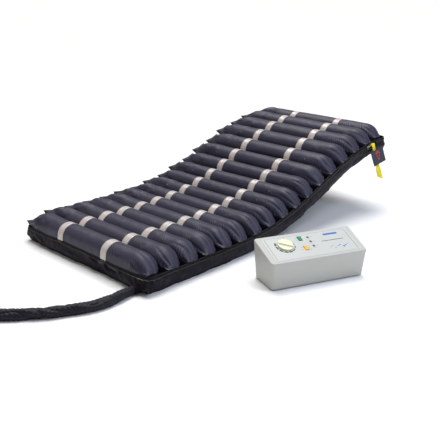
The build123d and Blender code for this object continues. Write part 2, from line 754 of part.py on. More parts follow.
def make_compressor():
    """Twin diaphragm compressor: coil and frame, with the magnet arm that swings between the heads."""
    x0, y0 = COMPRESSOR_AT
    base_x, base_y, base_z = COMPRESSOR_BASE
    coil_x, coil_y, coil_z = COIL_SIZE
    with BuildPart() as compressor:
        with BuildSketch(UNIT.offset(BASE_TOP)):
            with Locations((x0, y0)):
                RectangleRounded(base_x, base_y, 6)
        extrude(amount=base_z)
        with BuildSketch(UNIT.offset(BASE_TOP + base_z)):
            with Locations((x0, y0 + 30)):
                Rectangle(coil_x, coil_y)
        extrude(amount=coil_z)
        for side in (-1, 1):
            with BuildSketch(unit_side(x0 + side * HEAD_SPACING / 2 - HEAD_WIDTH / 2)):
                with Locations((y0 - 12, BASE_TOP + ARM_HEIGHT - 1)):
                    Circle(HEAD_RADIUS)
            extrude(amount=HEAD_WIDTH)
    save(compressor, "compressor")

    with BuildPart() as compressor_arm:
        with BuildSketch(unit_side(x0 - 23)):
            with Locations((y0 - 12, BASE_TOP + ARM_HEIGHT)):
                Circle(5)
        extrude(amount=46)
        with BuildSketch(unit_side(x0 - 11)):
            with Locations((y0 - 5, BASE_TOP + ARM_HEIGHT)):
                Rectangle(38, 24)
        extrude(amount=22)
    save(compressor_arm, "compressor_arm")


def make_distributor():
    """Air distributor under the knob: the valve block with its bleed port, its motor and the slow rotor."""
    block_x, block_y, block_deep = BLOCK_SIZE
    chamber_top = -BLOCK_DROP - block_deep
    motor_top = chamber_top - ROTOR_CHAMBER
    with BuildPart() as distributor:
        with BuildSketch(PANEL.offset(-BLOCK_DROP)):
            with Locations(KNOB_AT):
                RectangleRounded(block_x, block_y, 5)
        extrude(amount=-block_deep)
        with BuildSketch(PANEL.offset(-BLOCK_DROP)):
            with Locations(KNOB_AT):
                Circle(SHAFT_RADIUS + SHAFT_PLAY)
        extrude(amount=-13, mode=Mode.SUBTRACT)
        with BuildSketch(PANEL.offset(-BLOCK_DROP)):
            with Locations((KNOB_AT[0] - 21, KNOB_AT[1]), (KNOB_AT[0] + 21, KNOB_AT[1])):
                Circle(3.5)
        extrude(amount=BLOCK_DROP - UNIT_WALL)
        with BuildSketch(PANEL.offset(chamber_top)):
            with Locations(KNOB_AT):
                Circle(ROTOR_RADIUS + 5)
                Circle(ROTOR_RADIUS + 1, mode=Mode.SUBTRACT)
        extrude(amount=-ROTOR_CHAMBER)
        with BuildSketch(PANEL.offset(motor_top)):
            with Locations(KNOB_AT):
                Circle(MOTOR_RADIUS)
        extrude(amount=-MOTOR_LENGTH)
        with BuildSketch(PANEL.offset(motor_top)):
            with Locations(KNOB_AT):
                Circle(ROTOR_SHAFT + SHAFT_PLAY)
        extrude(amount=-8, mode=Mode.SUBTRACT)
    save(distributor, "distributor")

    with BuildPart() as distributor_rotor:
        with BuildSketch(PANEL.offset(chamber_top - 1)):
            with Locations(KNOB_AT):
                Circle(ROTOR_RADIUS)
                with PolarLocations(8, 3):
                    Circle(2, mode=Mode.SUBTRACT)
        extrude(amount=-8)
        with BuildSketch(PANEL.offset(chamber_top - 9)):
            with Locations(KNOB_AT):
                Circle(ROTOR_SHAFT)
        extrude(amount=-8)
    save(distributor_rotor, "distributor_rotor")


def make_circuit_board():
    """Circuit board on four pillars, with its fuse, transformer and connectors."""
    x0, y0 = BOARD_AT
    board_x, board_y, thick = BOARD_SIZE
    reach_x, reach_y = board_x / 2 - 6, board_y / 2 - 6
    pillars = [(x0 + x, y0 + y) for x in (-reach_x, reach_x) for y in (-reach_y, reach_y)]
    board_top = UNIT.offset(BASE_TOP + PILLAR_HEIGHT + thick)
    with BuildPart() as circuit_board:
        with BuildSketch(UNIT.offset(BASE_TOP)):
            with Locations(*pillars):
                Circle(3)
        extrude(amount=PILLAR_HEIGHT)
        with BuildSketch(UNIT.offset(BASE_TOP + PILLAR_HEIGHT)):
            with Locations((x0, y0)):
                RectangleRounded(board_x, board_y, 3)
        extrude(amount=thick)
        with BuildSketch(board_top):
            with Locations((x0 - 36, y0 - 14)):
                Rectangle(36, 32)
        extrude(amount=28)
        with BuildSketch(board_top):
            with Locations((x0 + 14, y0 - 30), (x0 + 14, y0 - 12)):
                Rectangle(20, 8)
            with Locations((x0 + 46, y0 - 20)):
                Circle(8)
        extrude(amount=14)
    save(circuit_board, "circuit_board")


for cell_number in range(1, CELL_COUNT + 1):
    make_cell(cell_number)
for section_name, (first_cell, last_cell) in SECTIONS.items():
    make_cover(section_name, first_cell, last_cell)
    make_bands(section_name, first_cell, last_cell)
    make_air_lines(section_name, first_cell, last_cell)
make_release()
make_zip_slider()
make_hose()
make_case()
make_unit_base()
make_controls()
make_sockets()
make_hooks()
make_compressor()
make_distributor()
make_circuit_board()
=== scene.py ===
"""Looks of the alternating pressure mattress, its hose and its control unit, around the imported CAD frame."""

import math

import bmesh
import bpy
import numpy as np
from mathutils import Matrix, Vector


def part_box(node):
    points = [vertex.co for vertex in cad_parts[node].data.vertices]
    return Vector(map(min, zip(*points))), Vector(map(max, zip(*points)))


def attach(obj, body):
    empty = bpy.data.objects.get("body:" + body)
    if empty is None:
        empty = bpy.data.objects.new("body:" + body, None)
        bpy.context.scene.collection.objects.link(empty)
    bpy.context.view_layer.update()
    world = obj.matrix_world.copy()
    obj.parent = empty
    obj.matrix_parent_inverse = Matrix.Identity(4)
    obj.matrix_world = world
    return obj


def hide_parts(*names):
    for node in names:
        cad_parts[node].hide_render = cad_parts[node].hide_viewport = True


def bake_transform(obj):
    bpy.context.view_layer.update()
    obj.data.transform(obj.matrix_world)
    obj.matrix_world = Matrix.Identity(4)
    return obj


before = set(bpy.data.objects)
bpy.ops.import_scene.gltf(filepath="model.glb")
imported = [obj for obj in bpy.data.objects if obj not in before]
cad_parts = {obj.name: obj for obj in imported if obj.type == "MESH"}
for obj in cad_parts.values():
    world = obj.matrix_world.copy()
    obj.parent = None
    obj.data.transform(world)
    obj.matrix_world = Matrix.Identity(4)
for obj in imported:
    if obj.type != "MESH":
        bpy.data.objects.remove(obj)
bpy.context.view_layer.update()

CELLS = 17
UNDERSIDE = 0.079
CREST = 0.152
SECTIONS = {
    "foot": (1, 5, "root"),
    "thigh": (6, 7, "thigh_section"),
    "hip": (8, 9, "hip_section"),
    "back": (10, 13, "back_section"),
    "shoulder": (14, 15, "shoulder_section"),
    "head": (16, 17, "head_section"),
}
HALF_WIDTH = 0.45
WALL = 0.0044
WALL_TOP = 0.075
HINGE_HEIGHT = 0.04
BAND_X = 0.16
BAND_HALF = 0.02


# ---------------------------------------------------------------- mesh helpers
def new_mesh(name, verts, faces, shader, smooth=True):
    mesh = bpy.data.meshes.new(name)
    mesh.from_pydata([tuple(v) for v in verts], [], faces)
    mesh.validate()
    shell = bmesh.new()
    shell.from_mesh(mesh)
    bmesh.ops.recalc_face_normals(shell, faces=shell.faces)
    shell.to_mesh(mesh)
    shell.free()
    mesh.polygons.foreach_set("use_smooth", [smooth] * len(mesh.polygons))
    mesh.update()
    piece = bpy.data.objects.new(name, mesh)
    bpy.context.scene.collection.objects.link(piece)
    piece.data.materials.append(shader.material)
    return piece


def grid_faces(rows, columns, close_columns=False, start=0):
    """Quads over a grid of points numbered row by row."""
    faces = []
    for r in range(rows - 1):
        for c in range(columns if close_columns else columns - 1):
            here, ahead, d = start + r * columns, start + (r + 1) * columns, (c + 1) % columns
            faces.append((here + c, ahead + c, ahead + d, here + d))
    return faces


def capped_faces(rows, columns):
    """Faces of a tube of rings, closed by two further points at its ends."""
    faces = grid_faces(rows, columns, close_columns=True)
    count = rows * columns
    for c in range(columns):
        d = (c + 1) % columns
        faces.append((d, c, count))
        faces.append((count - columns + c, count - columns + d, count + 1))
    return faces


def slab(front, back):
    """Points and faces of a closed thin piece between two grids of points of the same size."""
    rows, columns = front.shape[:2]
    count = rows * columns
    verts = np.concatenate([front.reshape(-1, 3), back.reshape(-1, 3)])
    faces = grid_faces(rows, columns)
    faces += [tuple(reversed(f)) for f in grid_faces(rows, columns, start=count)]
    rim = (
        list(range(columns))
        + [r * columns + columns - 1 for r in range(1, rows)]
        + [(rows - 1) * columns + c for c in range(columns - 2, -1, -1)]
        + [r * columns for r in range(rows - 2, 0, -1)]
    )
    faces += [(b, a, count + a, count + b) for a, b in zip(rim, rim[1:] + rim[:1])]
    return verts, faces


def merged(parts):
    """Points and faces of several (points, faces) as one."""
    verts, faces, start = [], [], 0
    for v, f in parts:
        verts.append(np.asarray(v).reshape(-1, 3))
        faces += [tuple(start + i for i in face) for face in f]
        start += len(verts[-1])
    return np.concatenate(verts), faces


def spread_out(*values):
    return np.broadcast_arrays(*(np.asarray(value, float) for value in values))


def lattice(seed, rows, columns):
    """Smooth noise from -1 to 1 over two numbers, counted in steps of the lattice."""
    values = np.random.default_rng(seed).uniform(-1, 1, (rows, columns))

    def at(u, v):
        u, v = spread_out(u, v)
        i, j = np.floor(u).astype(int), np.floor(v).astype(int)
        fu, fv = smooth(u - i), smooth(v - j)
        a, b = values[i % rows, j % columns], values[(i + 1) % rows, j % columns]
        c, d = values[i % rows, (j + 1) % columns], values[(i + 1) % rows, (j + 1) % columns]
        return (a * (1 - fu) + b * fu) * (1 - fv) + (c * (1 - fu) + d * fu) * fv

    return at


def smooth(t):
    t = np.clip(t, 0, 1)
    return t * t * (3 - 2 * t)


def rounded(t, power):
    """Rises from 0 to 1 like the end of a stuffed tube."""
    t = np.clip(t, 0, 1)
    return (1 - (1 - t) ** 2) ** power


def crease(t):
    """Round swells with sharp creases between them, from -1 to 1."""
    return 2 * np.abs(np.sin(t)) ** 0.6 - 1


# ---------------------------------------------------------------- the mattress's line, from the CAD cells
class Line:
    """The underside of the mattress from the foot edge: s along it, h up from it, x across."""

    def __init__(self):
        low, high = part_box("air_cell_01")
        wide, tall = high.y - low.y, high.z - low.z
        self.tilt, points = [], []
        for cell in range(1, CELLS + 1):
            low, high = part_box(f"air_cell_{cell:02d}")
            tilt = math.asin(min(1, max(0, (high.y - low.y - wide) / (tall - wide))))
            middle = (low + high) / 2
            self.tilt.append(tilt)
            points.append((middle.y + UNDERSIDE * math.sin(tilt), middle.z - UNDERSIDE * math.cos(tilt)))
        self.points = np.array(points)
        self.tangents = np.array([(math.cos(t), math.sin(t)) for t in self.tilt])
        self.pitch = self.points[1, 0] - self.points[0, 0]

    def at(self, s):
        """Points (y, z) on the underside and unit tangents there."""
        s = np.asarray(s, float)
        k = np.clip(np.floor(s / self.pitch - 0.5), 0, CELLS - 2).astype(int)
        raw = s / self.pitch - 0.5 - k
        u = np.clip(raw, 0, 1)[..., None]
        p0, p1 = self.points[k], self.points[k + 1]
        m0, m1 = self.tangents[k] * self.pitch, self.tangents[k + 1] * self.pitch
        point = (
            (2 * u**3 - 3 * u**2 + 1) * p0
            + (u**3 - 2 * u**2 + u) * m0
            + (3 * u**2 - 2 * u**3) * p1
            + (u**3 - u**2) * m1
        )
        slope = (
            (6 * u**2 - 6 * u) * p0
            + (3 * u**2 - 4 * u + 1) * m0
            + (6 * u - 6 * u**2) * p1
            + (3 * u**2 - 2 * u) * m1
        )
        tangent = slope / np.linalg.norm(slope, axis=-1, keepdims=True)
        return point + tangent * ((raw - u[..., 0]) * self.pitch)[..., None], tangent

    def place(self, s, h, x):
        """Points in the row frame."""
        s, h, x = spread_out(s, h, x)
        point, tangent = self.at(s)
        return np.stack([x, point[..., 0] - h * tangent[..., 1], point[..., 1] + h * tangent[..., 0]], axis=-1)

    def in_cell(self, cell, x, along, up):
        """Points in the row frame from a cell's own axes; the sides lean to meet the neighbours halfway."""
        k = cell - 1
        ahead = self.tilt[min(k + 1, CELLS - 1)] - self.tilt[k]
        behind = self.tilt[k] - self.tilt[max(k - 1, 0)]
        lean = np.where(along > 0, math.tan(ahead / 2), math.tan(behind / 2))
        along = along * (1 - up * lean / (self.pitch / 2))
        (py, pz), (ty, tz) = self.points[k], self.tangents[k]
        return np.stack([x + 0 * along, py + along * ty - up * tz, pz + along * tz + up * ty], axis=-1)


LINE = Line()
EDGE = [k * LINE.pitch for k in range(CELLS + 1)]
LENGTH = EDGE[-1]


# ---------------------------------------------------------------- materials
class Shader:
    """One Principled material, with its textures on the piece's own coordinates in metres."""

    def __init__(self, name, **values):
        self.material = bpy.data.materials.new(name)
        self.material.use_nodes = True
        self.nodes = self.material.node_tree.nodes
        self.links = self.material.node_tree.links
        self.bsdf = self.nodes["Principled BSDF"]
        self.coords = self.nodes.new("ShaderNodeTexCoord").outputs["Object"]
        self.normal = None
        for socket, value in values.items():
            self.bsdf.inputs[socket.replace("_", " ")].default_value = value

    def stretched(self, stretch, turn=(0, 0, 0)):
        mapping = self.nodes.new("ShaderNodeMapping")
        mapping.inputs["Scale"].default_value = stretch
        mapping.inputs["Rotation"].default_value = turn
        self.links.new(self.coords, mapping.inputs["Vector"])
        return mapping.outputs["Vector"]

    def noise(self, scale, detail=4, roughness=0.55, stretch=(1, 1, 1), turn=(0, 0, 0)):
        node = self.nodes.new("ShaderNodeTexNoise")
        node.inputs["Scale"].default_value = scale
        node.inputs["Detail"].default_value = detail
        node.inputs["Roughness"].default_value = roughness
        self.links.new(self.stretched(stretch, turn), node.inputs["Vector"])
        return node.outputs["Fac"]

    def wave(self, period, turn=(0, 0, 0)):
        node = self.nodes.new("ShaderNodeTexWave")
        node.inputs["Scale"].default_value = math.pi / 10 / period
        self.links.new(self.stretched((1, 1, 1), turn), node.inputs["Vector"])
        return node.outputs["Fac"]

    def math(self, operation, a, b=None, clamp=False):
        node = self.nodes.new("ShaderNodeMath")
        node.operation = operation
        node.use_clamp = clamp
        for socket, value in zip(node.inputs, (a, b)):
            if isinstance(value, (int, float)):
                socket.default_value = value
            elif value is not None:
                self.links.new(value, socket)
        return node.outputs[0]

    def weave(self, period):
        """Threads along and across the cloth."""
        along = self.wave(period)
        across = self.wave(period, (0, math.radians(45), math.radians(90)))
        return self.math("MAXIMUM", along, across)

    def ramp(self, factor, *stops):
        node = self.nodes.new("ShaderNodeValToRGB")
        ramp = node.color_ramp
        while len(ramp.elements) < len(stops):
            ramp.elements.new(0.5)
        for element, (position, color) in zip(ramp.elements, stops):
            element.position = position
            element.color = (*color, 1)
        self.links.new(factor, node.inputs["Fac"])
        return node.outputs["Color"]

    def mix(self, factor, a, b):
        node = self.nodes.new("ShaderNodeMix")
        node.data_type = "RGBA"
        self.links.new(factor, node.inputs[0])
        for socket, value in zip((node.inputs[6], node.inputs[7]), (a, b)):
            if isinstance(value, tuple):
                socket.default_value = (*value, 1)
            else:
                self.links.new(value, socket)
        return node.outputs[2]

    def color(self, output):
        self.links.new(output, self.bsdf.inputs["Base Color"])
        return self

    def rough(self, factor, low, high):
        node = self.nodes.new("ShaderNodeMapRange")
        node.inputs["To Min"].default_value = low
        node.inputs["To Max"].default_value = high
        self.links.new(factor, node.inputs["Value"])
        self.links.new(node.outputs["Result"], self.bsdf.inputs["Roughness"])
        return self

    def bump(self, height, distance, strength=1.0):
        node = self.nodes.new("ShaderNodeBump")
        node.inputs["Strength"].default_value = strength
        node.inputs["Distance"].default_value = distance
        self.links.new(height, node.inputs["Height"])
        if self.normal is not None:
            self.links.new(self.normal, node.inputs["Normal"])
        self.normal = node.outputs["Normal"]
        self.links.new(self.normal, self.bsdf.inputs["Normal"])
        return self


def shades(color, spread):
    """A darker and a lighter shade of a colour."""
    return tuple(c * (1 - spread) for c in color), tuple(min(1, c * (1 + spread)) for c in color)


def cloth(name, color, spread=0.12, period=0.0006, rough=(0.42, 0.56), crinkle=0.0012, **values):
    """Woven cloth: threads, soft crinkles and uneven dye."""
    shader = Shader(name, **values)
    dark, light = shades(color, spread)
    tone = shader.noise(9, 6)
    threads = shader.weave(period)
    under = shader.ramp(tone, (0.3, dark), (0.7, color))
    shader.color(shader.mix(threads, under, shader.ramp(tone, (0.3, color), (0.7, light))))
    shader.rough(shader.noise(45, 3), *rough)
    shader.bump(shader.noise(28, 5, 0.6), crinkle, 0.5)
    shader.bump(threads, 0.00012, 0.6)
    return shader


def plastic(name, color, spread=0.03, rough=(0.32, 0.44), grain=0.00006, **values):
    """Moulded plastic: fine texture, faint mottling and handling marks in the gloss."""
    shader = Shader(name, **values)
    dark, light = shades(color, spread)
    shader.color(shader.ramp(shader.noise(7, 5), (0.3, dark), (0.7, light)))
    shader.rough(shader.noise(30, 6, 0.7), *rough)
    shader.bump(shader.noise(1400, 2), grain, 0.8)
    return shader


def metal(name, color, rough=(0.22, 0.4), **values):
    shader = Shader(name, Metallic=1.0, **values)
    dark, light = shades(color, 0.12)
    shader.color(shader.ramp(shader.noise(60, 5), (0.3, dark), (0.7, light)))
    shader.rough(shader.noise(180, 6, 0.7), *rough)
    shader.bump(shader.noise(900, 3, stretch=(1, 1, 0.1)), 0.00005, 0.7)
    return shader


def paint_left_end_shade(shader, start=-0.459, steepness=-140.0, color=(0.008, 0.008, 0.010)):
    """Painted shade: black colour at the left ends of the cells, past a place across the mattress."""
    split = shader.nodes.new("ShaderNodeSeparateXYZ")
    shader.links.new(shader.coords, split.inputs["Vector"])
    past = shader.math("MULTIPLY", shader.math("ADD", split.outputs["X"], -start), steepness, clamp=True)
    shader.color(shader.mix(past, shader.bsdf.inputs["Base Color"].links[0].from_socket, color))


CELL_CLOTH = cloth(
    "cell_cloth",
    (0.027, 0.025, 0.049),
    rough=(0.42, 0.52),
    crinkle=0.0009,
    Sheen_Weight=0.03,
    Sheen_Roughness=0.35,
    Specular_IOR_Level=0.34,
)
# painted shade: the left ends of the cells are coloured black
paint_left_end_shade(CELL_CLOTH)
COVER_CLOTH = cloth(
    "cover_cloth", (0.010, 0.0085, 0.0145), rough=(0.5, 0.62), crinkle=0.0022, Specular_IOR_Level=0.12
)
BINDING_CLOTH = cloth(
    "binding_cloth", (0.005, 0.005, 0.006), period=0.0009, crinkle=0.0005, Specular_IOR_Level=0.12
)
BAND_CLOTH = cloth(
    "band_cloth",
    (0.53, 0.47, 0.435),
    spread=0.06,
    period=0.0011,
    rough=(0.26, 0.32),
    crinkle=0.0004,
    Specular_IOR_Level=1.0,
)
TAG_CLOTH = cloth("tag_cloth", (0.018, 0.021, 0.040), period=0.0008, crinkle=0.0008, Sheen_Weight=0.05)
WEBBING = cloth("webbing", (0.90, 0.74, 0.006), spread=0.08, period=0.0016, crinkle=0.0004, Sheen_Weight=0.05)
RED_THREAD = cloth("red_thread", (0.72, 0.03, 0.06), spread=0.15, period=0.0007, crinkle=0.0003)
SLEEVE_CLOTH = cloth(
    "sleeve_cloth",
    (0.0095, 0.0085, 0.015),
    rough=(0.46, 0.58),
    crinkle=0.0016,
    Sheen_Weight=0.02,
    Specular_IOR_Level=0.22,
)
ZIP_TEETH = plastic("zip_teeth", (0.022, 0.016, 0.010), spread=0.3, rough=(0.25, 0.4))
ZIP_TEETH.bump(ZIP_TEETH.wave(0.003), 0.0006, 1.0)
PALE_WELD = plastic("pale_weld", (0.34, 0.33, 0.34))
ZIP_METAL = metal("zip_metal", (0.42, 0.41, 0.40))
CASE_WHITE = plastic("case_white", (0.475, 0.48, 0.445), spread=0.015, rough=(0.36, 0.46), Specular_IOR_Level=0.45)
PANEL_FILM = plastic("panel_film", (0.515, 0.53, 0.505), spread=0.01, rough=(0.26, 0.34), grain=0.00003)
KNOB_CREAM = plastic("knob_cream", (0.74, 0.73, 0.52), spread=0.02, rough=(0.28, 0.38), Subsurface_Weight=0.05)
GREEN_KEY = plastic("green_key", (0.002, 0.22, 0.085), rough=(0.18, 0.28), Coat_Weight=0.3)
YELLOW_KEY = plastic("yellow_key", (0.92, 0.46, 0.008), rough=(0.18, 0.28), Coat_Weight=0.3)
LENS = plastic("lens", (0.12, 0.13, 0.12), rough=(0.1, 0.2), Coat_Weight=0.6)
RUBBER = plastic("rubber", (0.03, 0.03, 0.032), rough=(0.6, 0.75), grain=0.0001)
GREY_PLASTIC = plastic("grey_plastic", (0.30, 0.31, 0.31))
BLACK_PLASTIC = plastic("black_plastic", (0.02, 0.02, 0.022), rough=(0.35, 0.5))
CLEAR_TUBE = plastic("clear_tube", (0.62, 0.55, 0.42), rough=(0.2, 0.3), Transmission_Weight=0.35)
STEEL = metal("steel", (0.55, 0.55, 0.56))
CAST = metal("cast_metal", (0.38, 0.38, 0.37), rough=(0.4, 0.6))
COATED = plastic("coated_steel", (0.72, 0.73, 0.70), rough=(0.3, 0.45))
BOARD = plastic("circuit_board", (0.02, 0.16, 0.06), spread=0.2, rough=(0.3, 0.5))
INK_BLACK = plastic("ink_black", (0.012, 0.012, 0.014), rough=(0.4, 0.5))
INK_GREY = plastic("ink_grey", (0.13, 0.16, 0.17), rough=(0.4, 0.5))
INK_BLUE = plastic("ink_blue", (0.02, 0.09, 0.45), rough=(0.4, 0.5))


# ---------------------------------------------------------------- camera
CAMERA_AT = (2.288, -1.844, 1.202)
CAMERA_TURN = (41.95, 18.77, 1.57)
LENS_MM = 53.45057


def make_camera():
    azimuth, elevation, roll = (math.radians(a) for a in CAMERA_TURN)
    turn = Matrix.Rotation(azimuth, 4, "Z") @ Matrix.Rotation(math.pi / 2 - elevation, 4, "X")
    data = bpy.data.cameras.new("camera")
    data.sensor_width = 36
    data.lens = LENS_MM
    data.clip_end = 4000
    camera = bpy.data.objects.new("camera", data)
    bpy.context.scene.collection.objects.link(camera)
    camera.matrix_world = Matrix.Translation(CAMERA_AT) @ turn @ Matrix.Rotation(roll, 4, "Z")
    bpy.context.scene.camera = camera


# ---------------------------------------------------------------- hose
HOSE_ROUTE = [
    (0.390, -0.251, 0.021),
    (0.390, -0.303, 0.021),
    (0.404, -0.376, 0.021),
    (0.397, -0.452, 0.021),
    (0.371, -0.519, 0.021),
    (0.337, -0.582, 0.021),
    (0.299, -0.642, 0.021),
    (0.252, -0.704, 0.021),
    (0.199, -0.763, 0.021),
    (0.139, -0.818, 0.021),
    (0.073, -0.867, 0.021),
    (0.001, -0.905, 0.021),
    (-0.075, -0.931, 0.021),
]


def hose_line():
    """Points along the hose's smooth route."""
    curve = bpy.data.curves.new("hose_route", "CURVE")
    curve.dimensions = "3D"
    spline = curve.splines.new("NURBS")
    spline.points.add(len(HOSE_ROUTE) - 1)
    for point, place in zip(spline.points, HOSE_ROUTE):
        point.co = (*place, 1)
    spline.order_u = 3
    spline.use_endpoint_u = True
    spline.resolution_u = 24
    holder = bpy.data.objects.new("hose_route", curve)
    mesh = bpy.data.meshes.new_from_object(holder)
    line = np.array([v.co for v in mesh.vertices], float).reshape(-1, 3)
    bpy.data.objects.remove(holder)
    bpy.data.meshes.remove(mesh)
    return line


def make_hose():
    line = hose_line()
    steps = np.linalg.norm(np.diff(line, axis=0), axis=1)
    line = line[np.concatenate([[True], steps > 1e-7])]
    along = np.concatenate([[0], np.cumsum(np.linalg.norm(np.diff(line, axis=0), axis=1))])
    length = float(along[-1])
    stations = np.linspace(0, length, 330)
    middle = np.stack([np.interp(stations, along, line[:, k]) for k in range(3)], axis=1)
    tangent = np.gradient(middle, axis=0)
    tangent /= np.linalg.norm(tangent, axis=1, keepdims=True)
    side = np.stack([-tangent[:, 1], tangent[:, 0], 0 * tangent[:, 0]], axis=1)
    angle = np.linspace(0, 2 * math.pi, 72, endpoint=False)
    s, a = np.meshgrid(stations, angle, indexing="ij")
    slow, fine = lattice(31, 64, 8), lattice(32, 256, 16)
    twist = 9.0 * s + 1.4 * slow(s * 6, 0.5)
    near_ends = smooth(np.minimum(s, length - s) / 0.05)
    two_hoses = 0.0018 * np.cos(2 * (a - twist))
    spiral = 0.0024 * crease(1.5 * (a - 1.7 * twist) + 1.3 * slow(s * 14, a * 1.2)) * near_ends
    folds = 0.0014 * crease(s * math.pi / 0.017 + 1.2 * a + 2.2 * fine(s * 22, a * 2.5)) * near_ends
    radius = 0.0188 + two_hoses * near_ends + spiral + folds + 0.0008 * fine(s * 60, a * 2.5)
    wide = radius * np.cos(a) * (1.04 + 0.03 * slow(s * 9, 3.5)) * (0.86 + 0.14 * smooth(s / 0.06))
    tall = radius * np.sin(a)
    points = middle[:, None, :] + side[:, None, :] * wide[..., None]
    points[..., 2] += tall
    height = points[..., 2]
    points[..., 2] = np.where(height < 0.004, 0.0018 + 0.25 * np.maximum(height, 0), height)
    verts = np.concatenate([points.reshape(-1, 3), middle[:1], middle[-1:]])
    faces = capped_faces(len(stations), len(angle))
    sleeve = new_mesh("hose_sleeve_cloth", verts, faces, SLEEVE_CLOTH)
    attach(sleeve, "root")
    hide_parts("hose_sleeve")
    cuff = make_cuff(fine)
    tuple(HOSE_ROUTE[0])
    [tuple(p) for p in line]


def make_cuff(fine):
    """Flared cloth cuff where the sleeve leaves the foot wall."""
    cuff_stations = np.linspace(0, 1, 22)
    u, a = np.meshgrid(cuff_stations, np.linspace(0, 2 * math.pi, 60, endpoint=False), indexing="ij")
    low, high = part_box("hose_collar")
    exit_y, root_y = low.y, high.y
    x0, _, z0 = HOSE_ROUTE[0]
    flare = 0.0195 + 0.0035 * (1 - u) ** 2 + 0.0012 * crease(a * 5.5 + 1.5 * fine(u * 3, a * 3)) * smooth(u * 3)
    ring = np.stack(
        [
            x0 + flare * np.cos(a) * 1.04,
            root_y - 0.002 + (exit_y - 0.004 - root_y) * u,
            np.maximum(z0 + flare * np.sin(a), 0.0016),
        ],
        axis=-1,
    )
    inner = ring.copy()
    inner[..., 0] = x0 + (ring[..., 0] - x0) * 0.86
    inner[..., 2] = z0 + (ring[..., 2] - z0) * 0.86
    columns = ring.shape[1]
    verts = np.concatenate([ring.reshape(-1, 3), inner.reshape(-1, 3)])
    count = len(cuff_stations) * columns
    faces = grid_faces(len(cuff_stations), columns, True)
    faces += [tuple(reversed(f)) for f in grid_faces(len(cuff_stations), columns, True, count)]
    for c in range(columns):
        d = (c + 1) % columns
        last = count - columns
        faces.append((d, c, count + c, count + d))
        faces.append((last + c, last + d, count + last + d, count + last + c))
    cuff = new_mesh("hose_cuff", verts, faces, COVER_CLOTH)
    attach(cuff, "root")
    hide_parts("hose_collar")
    return cuff


# ---------------------------------------------------------------- air cells
AROUND = 76


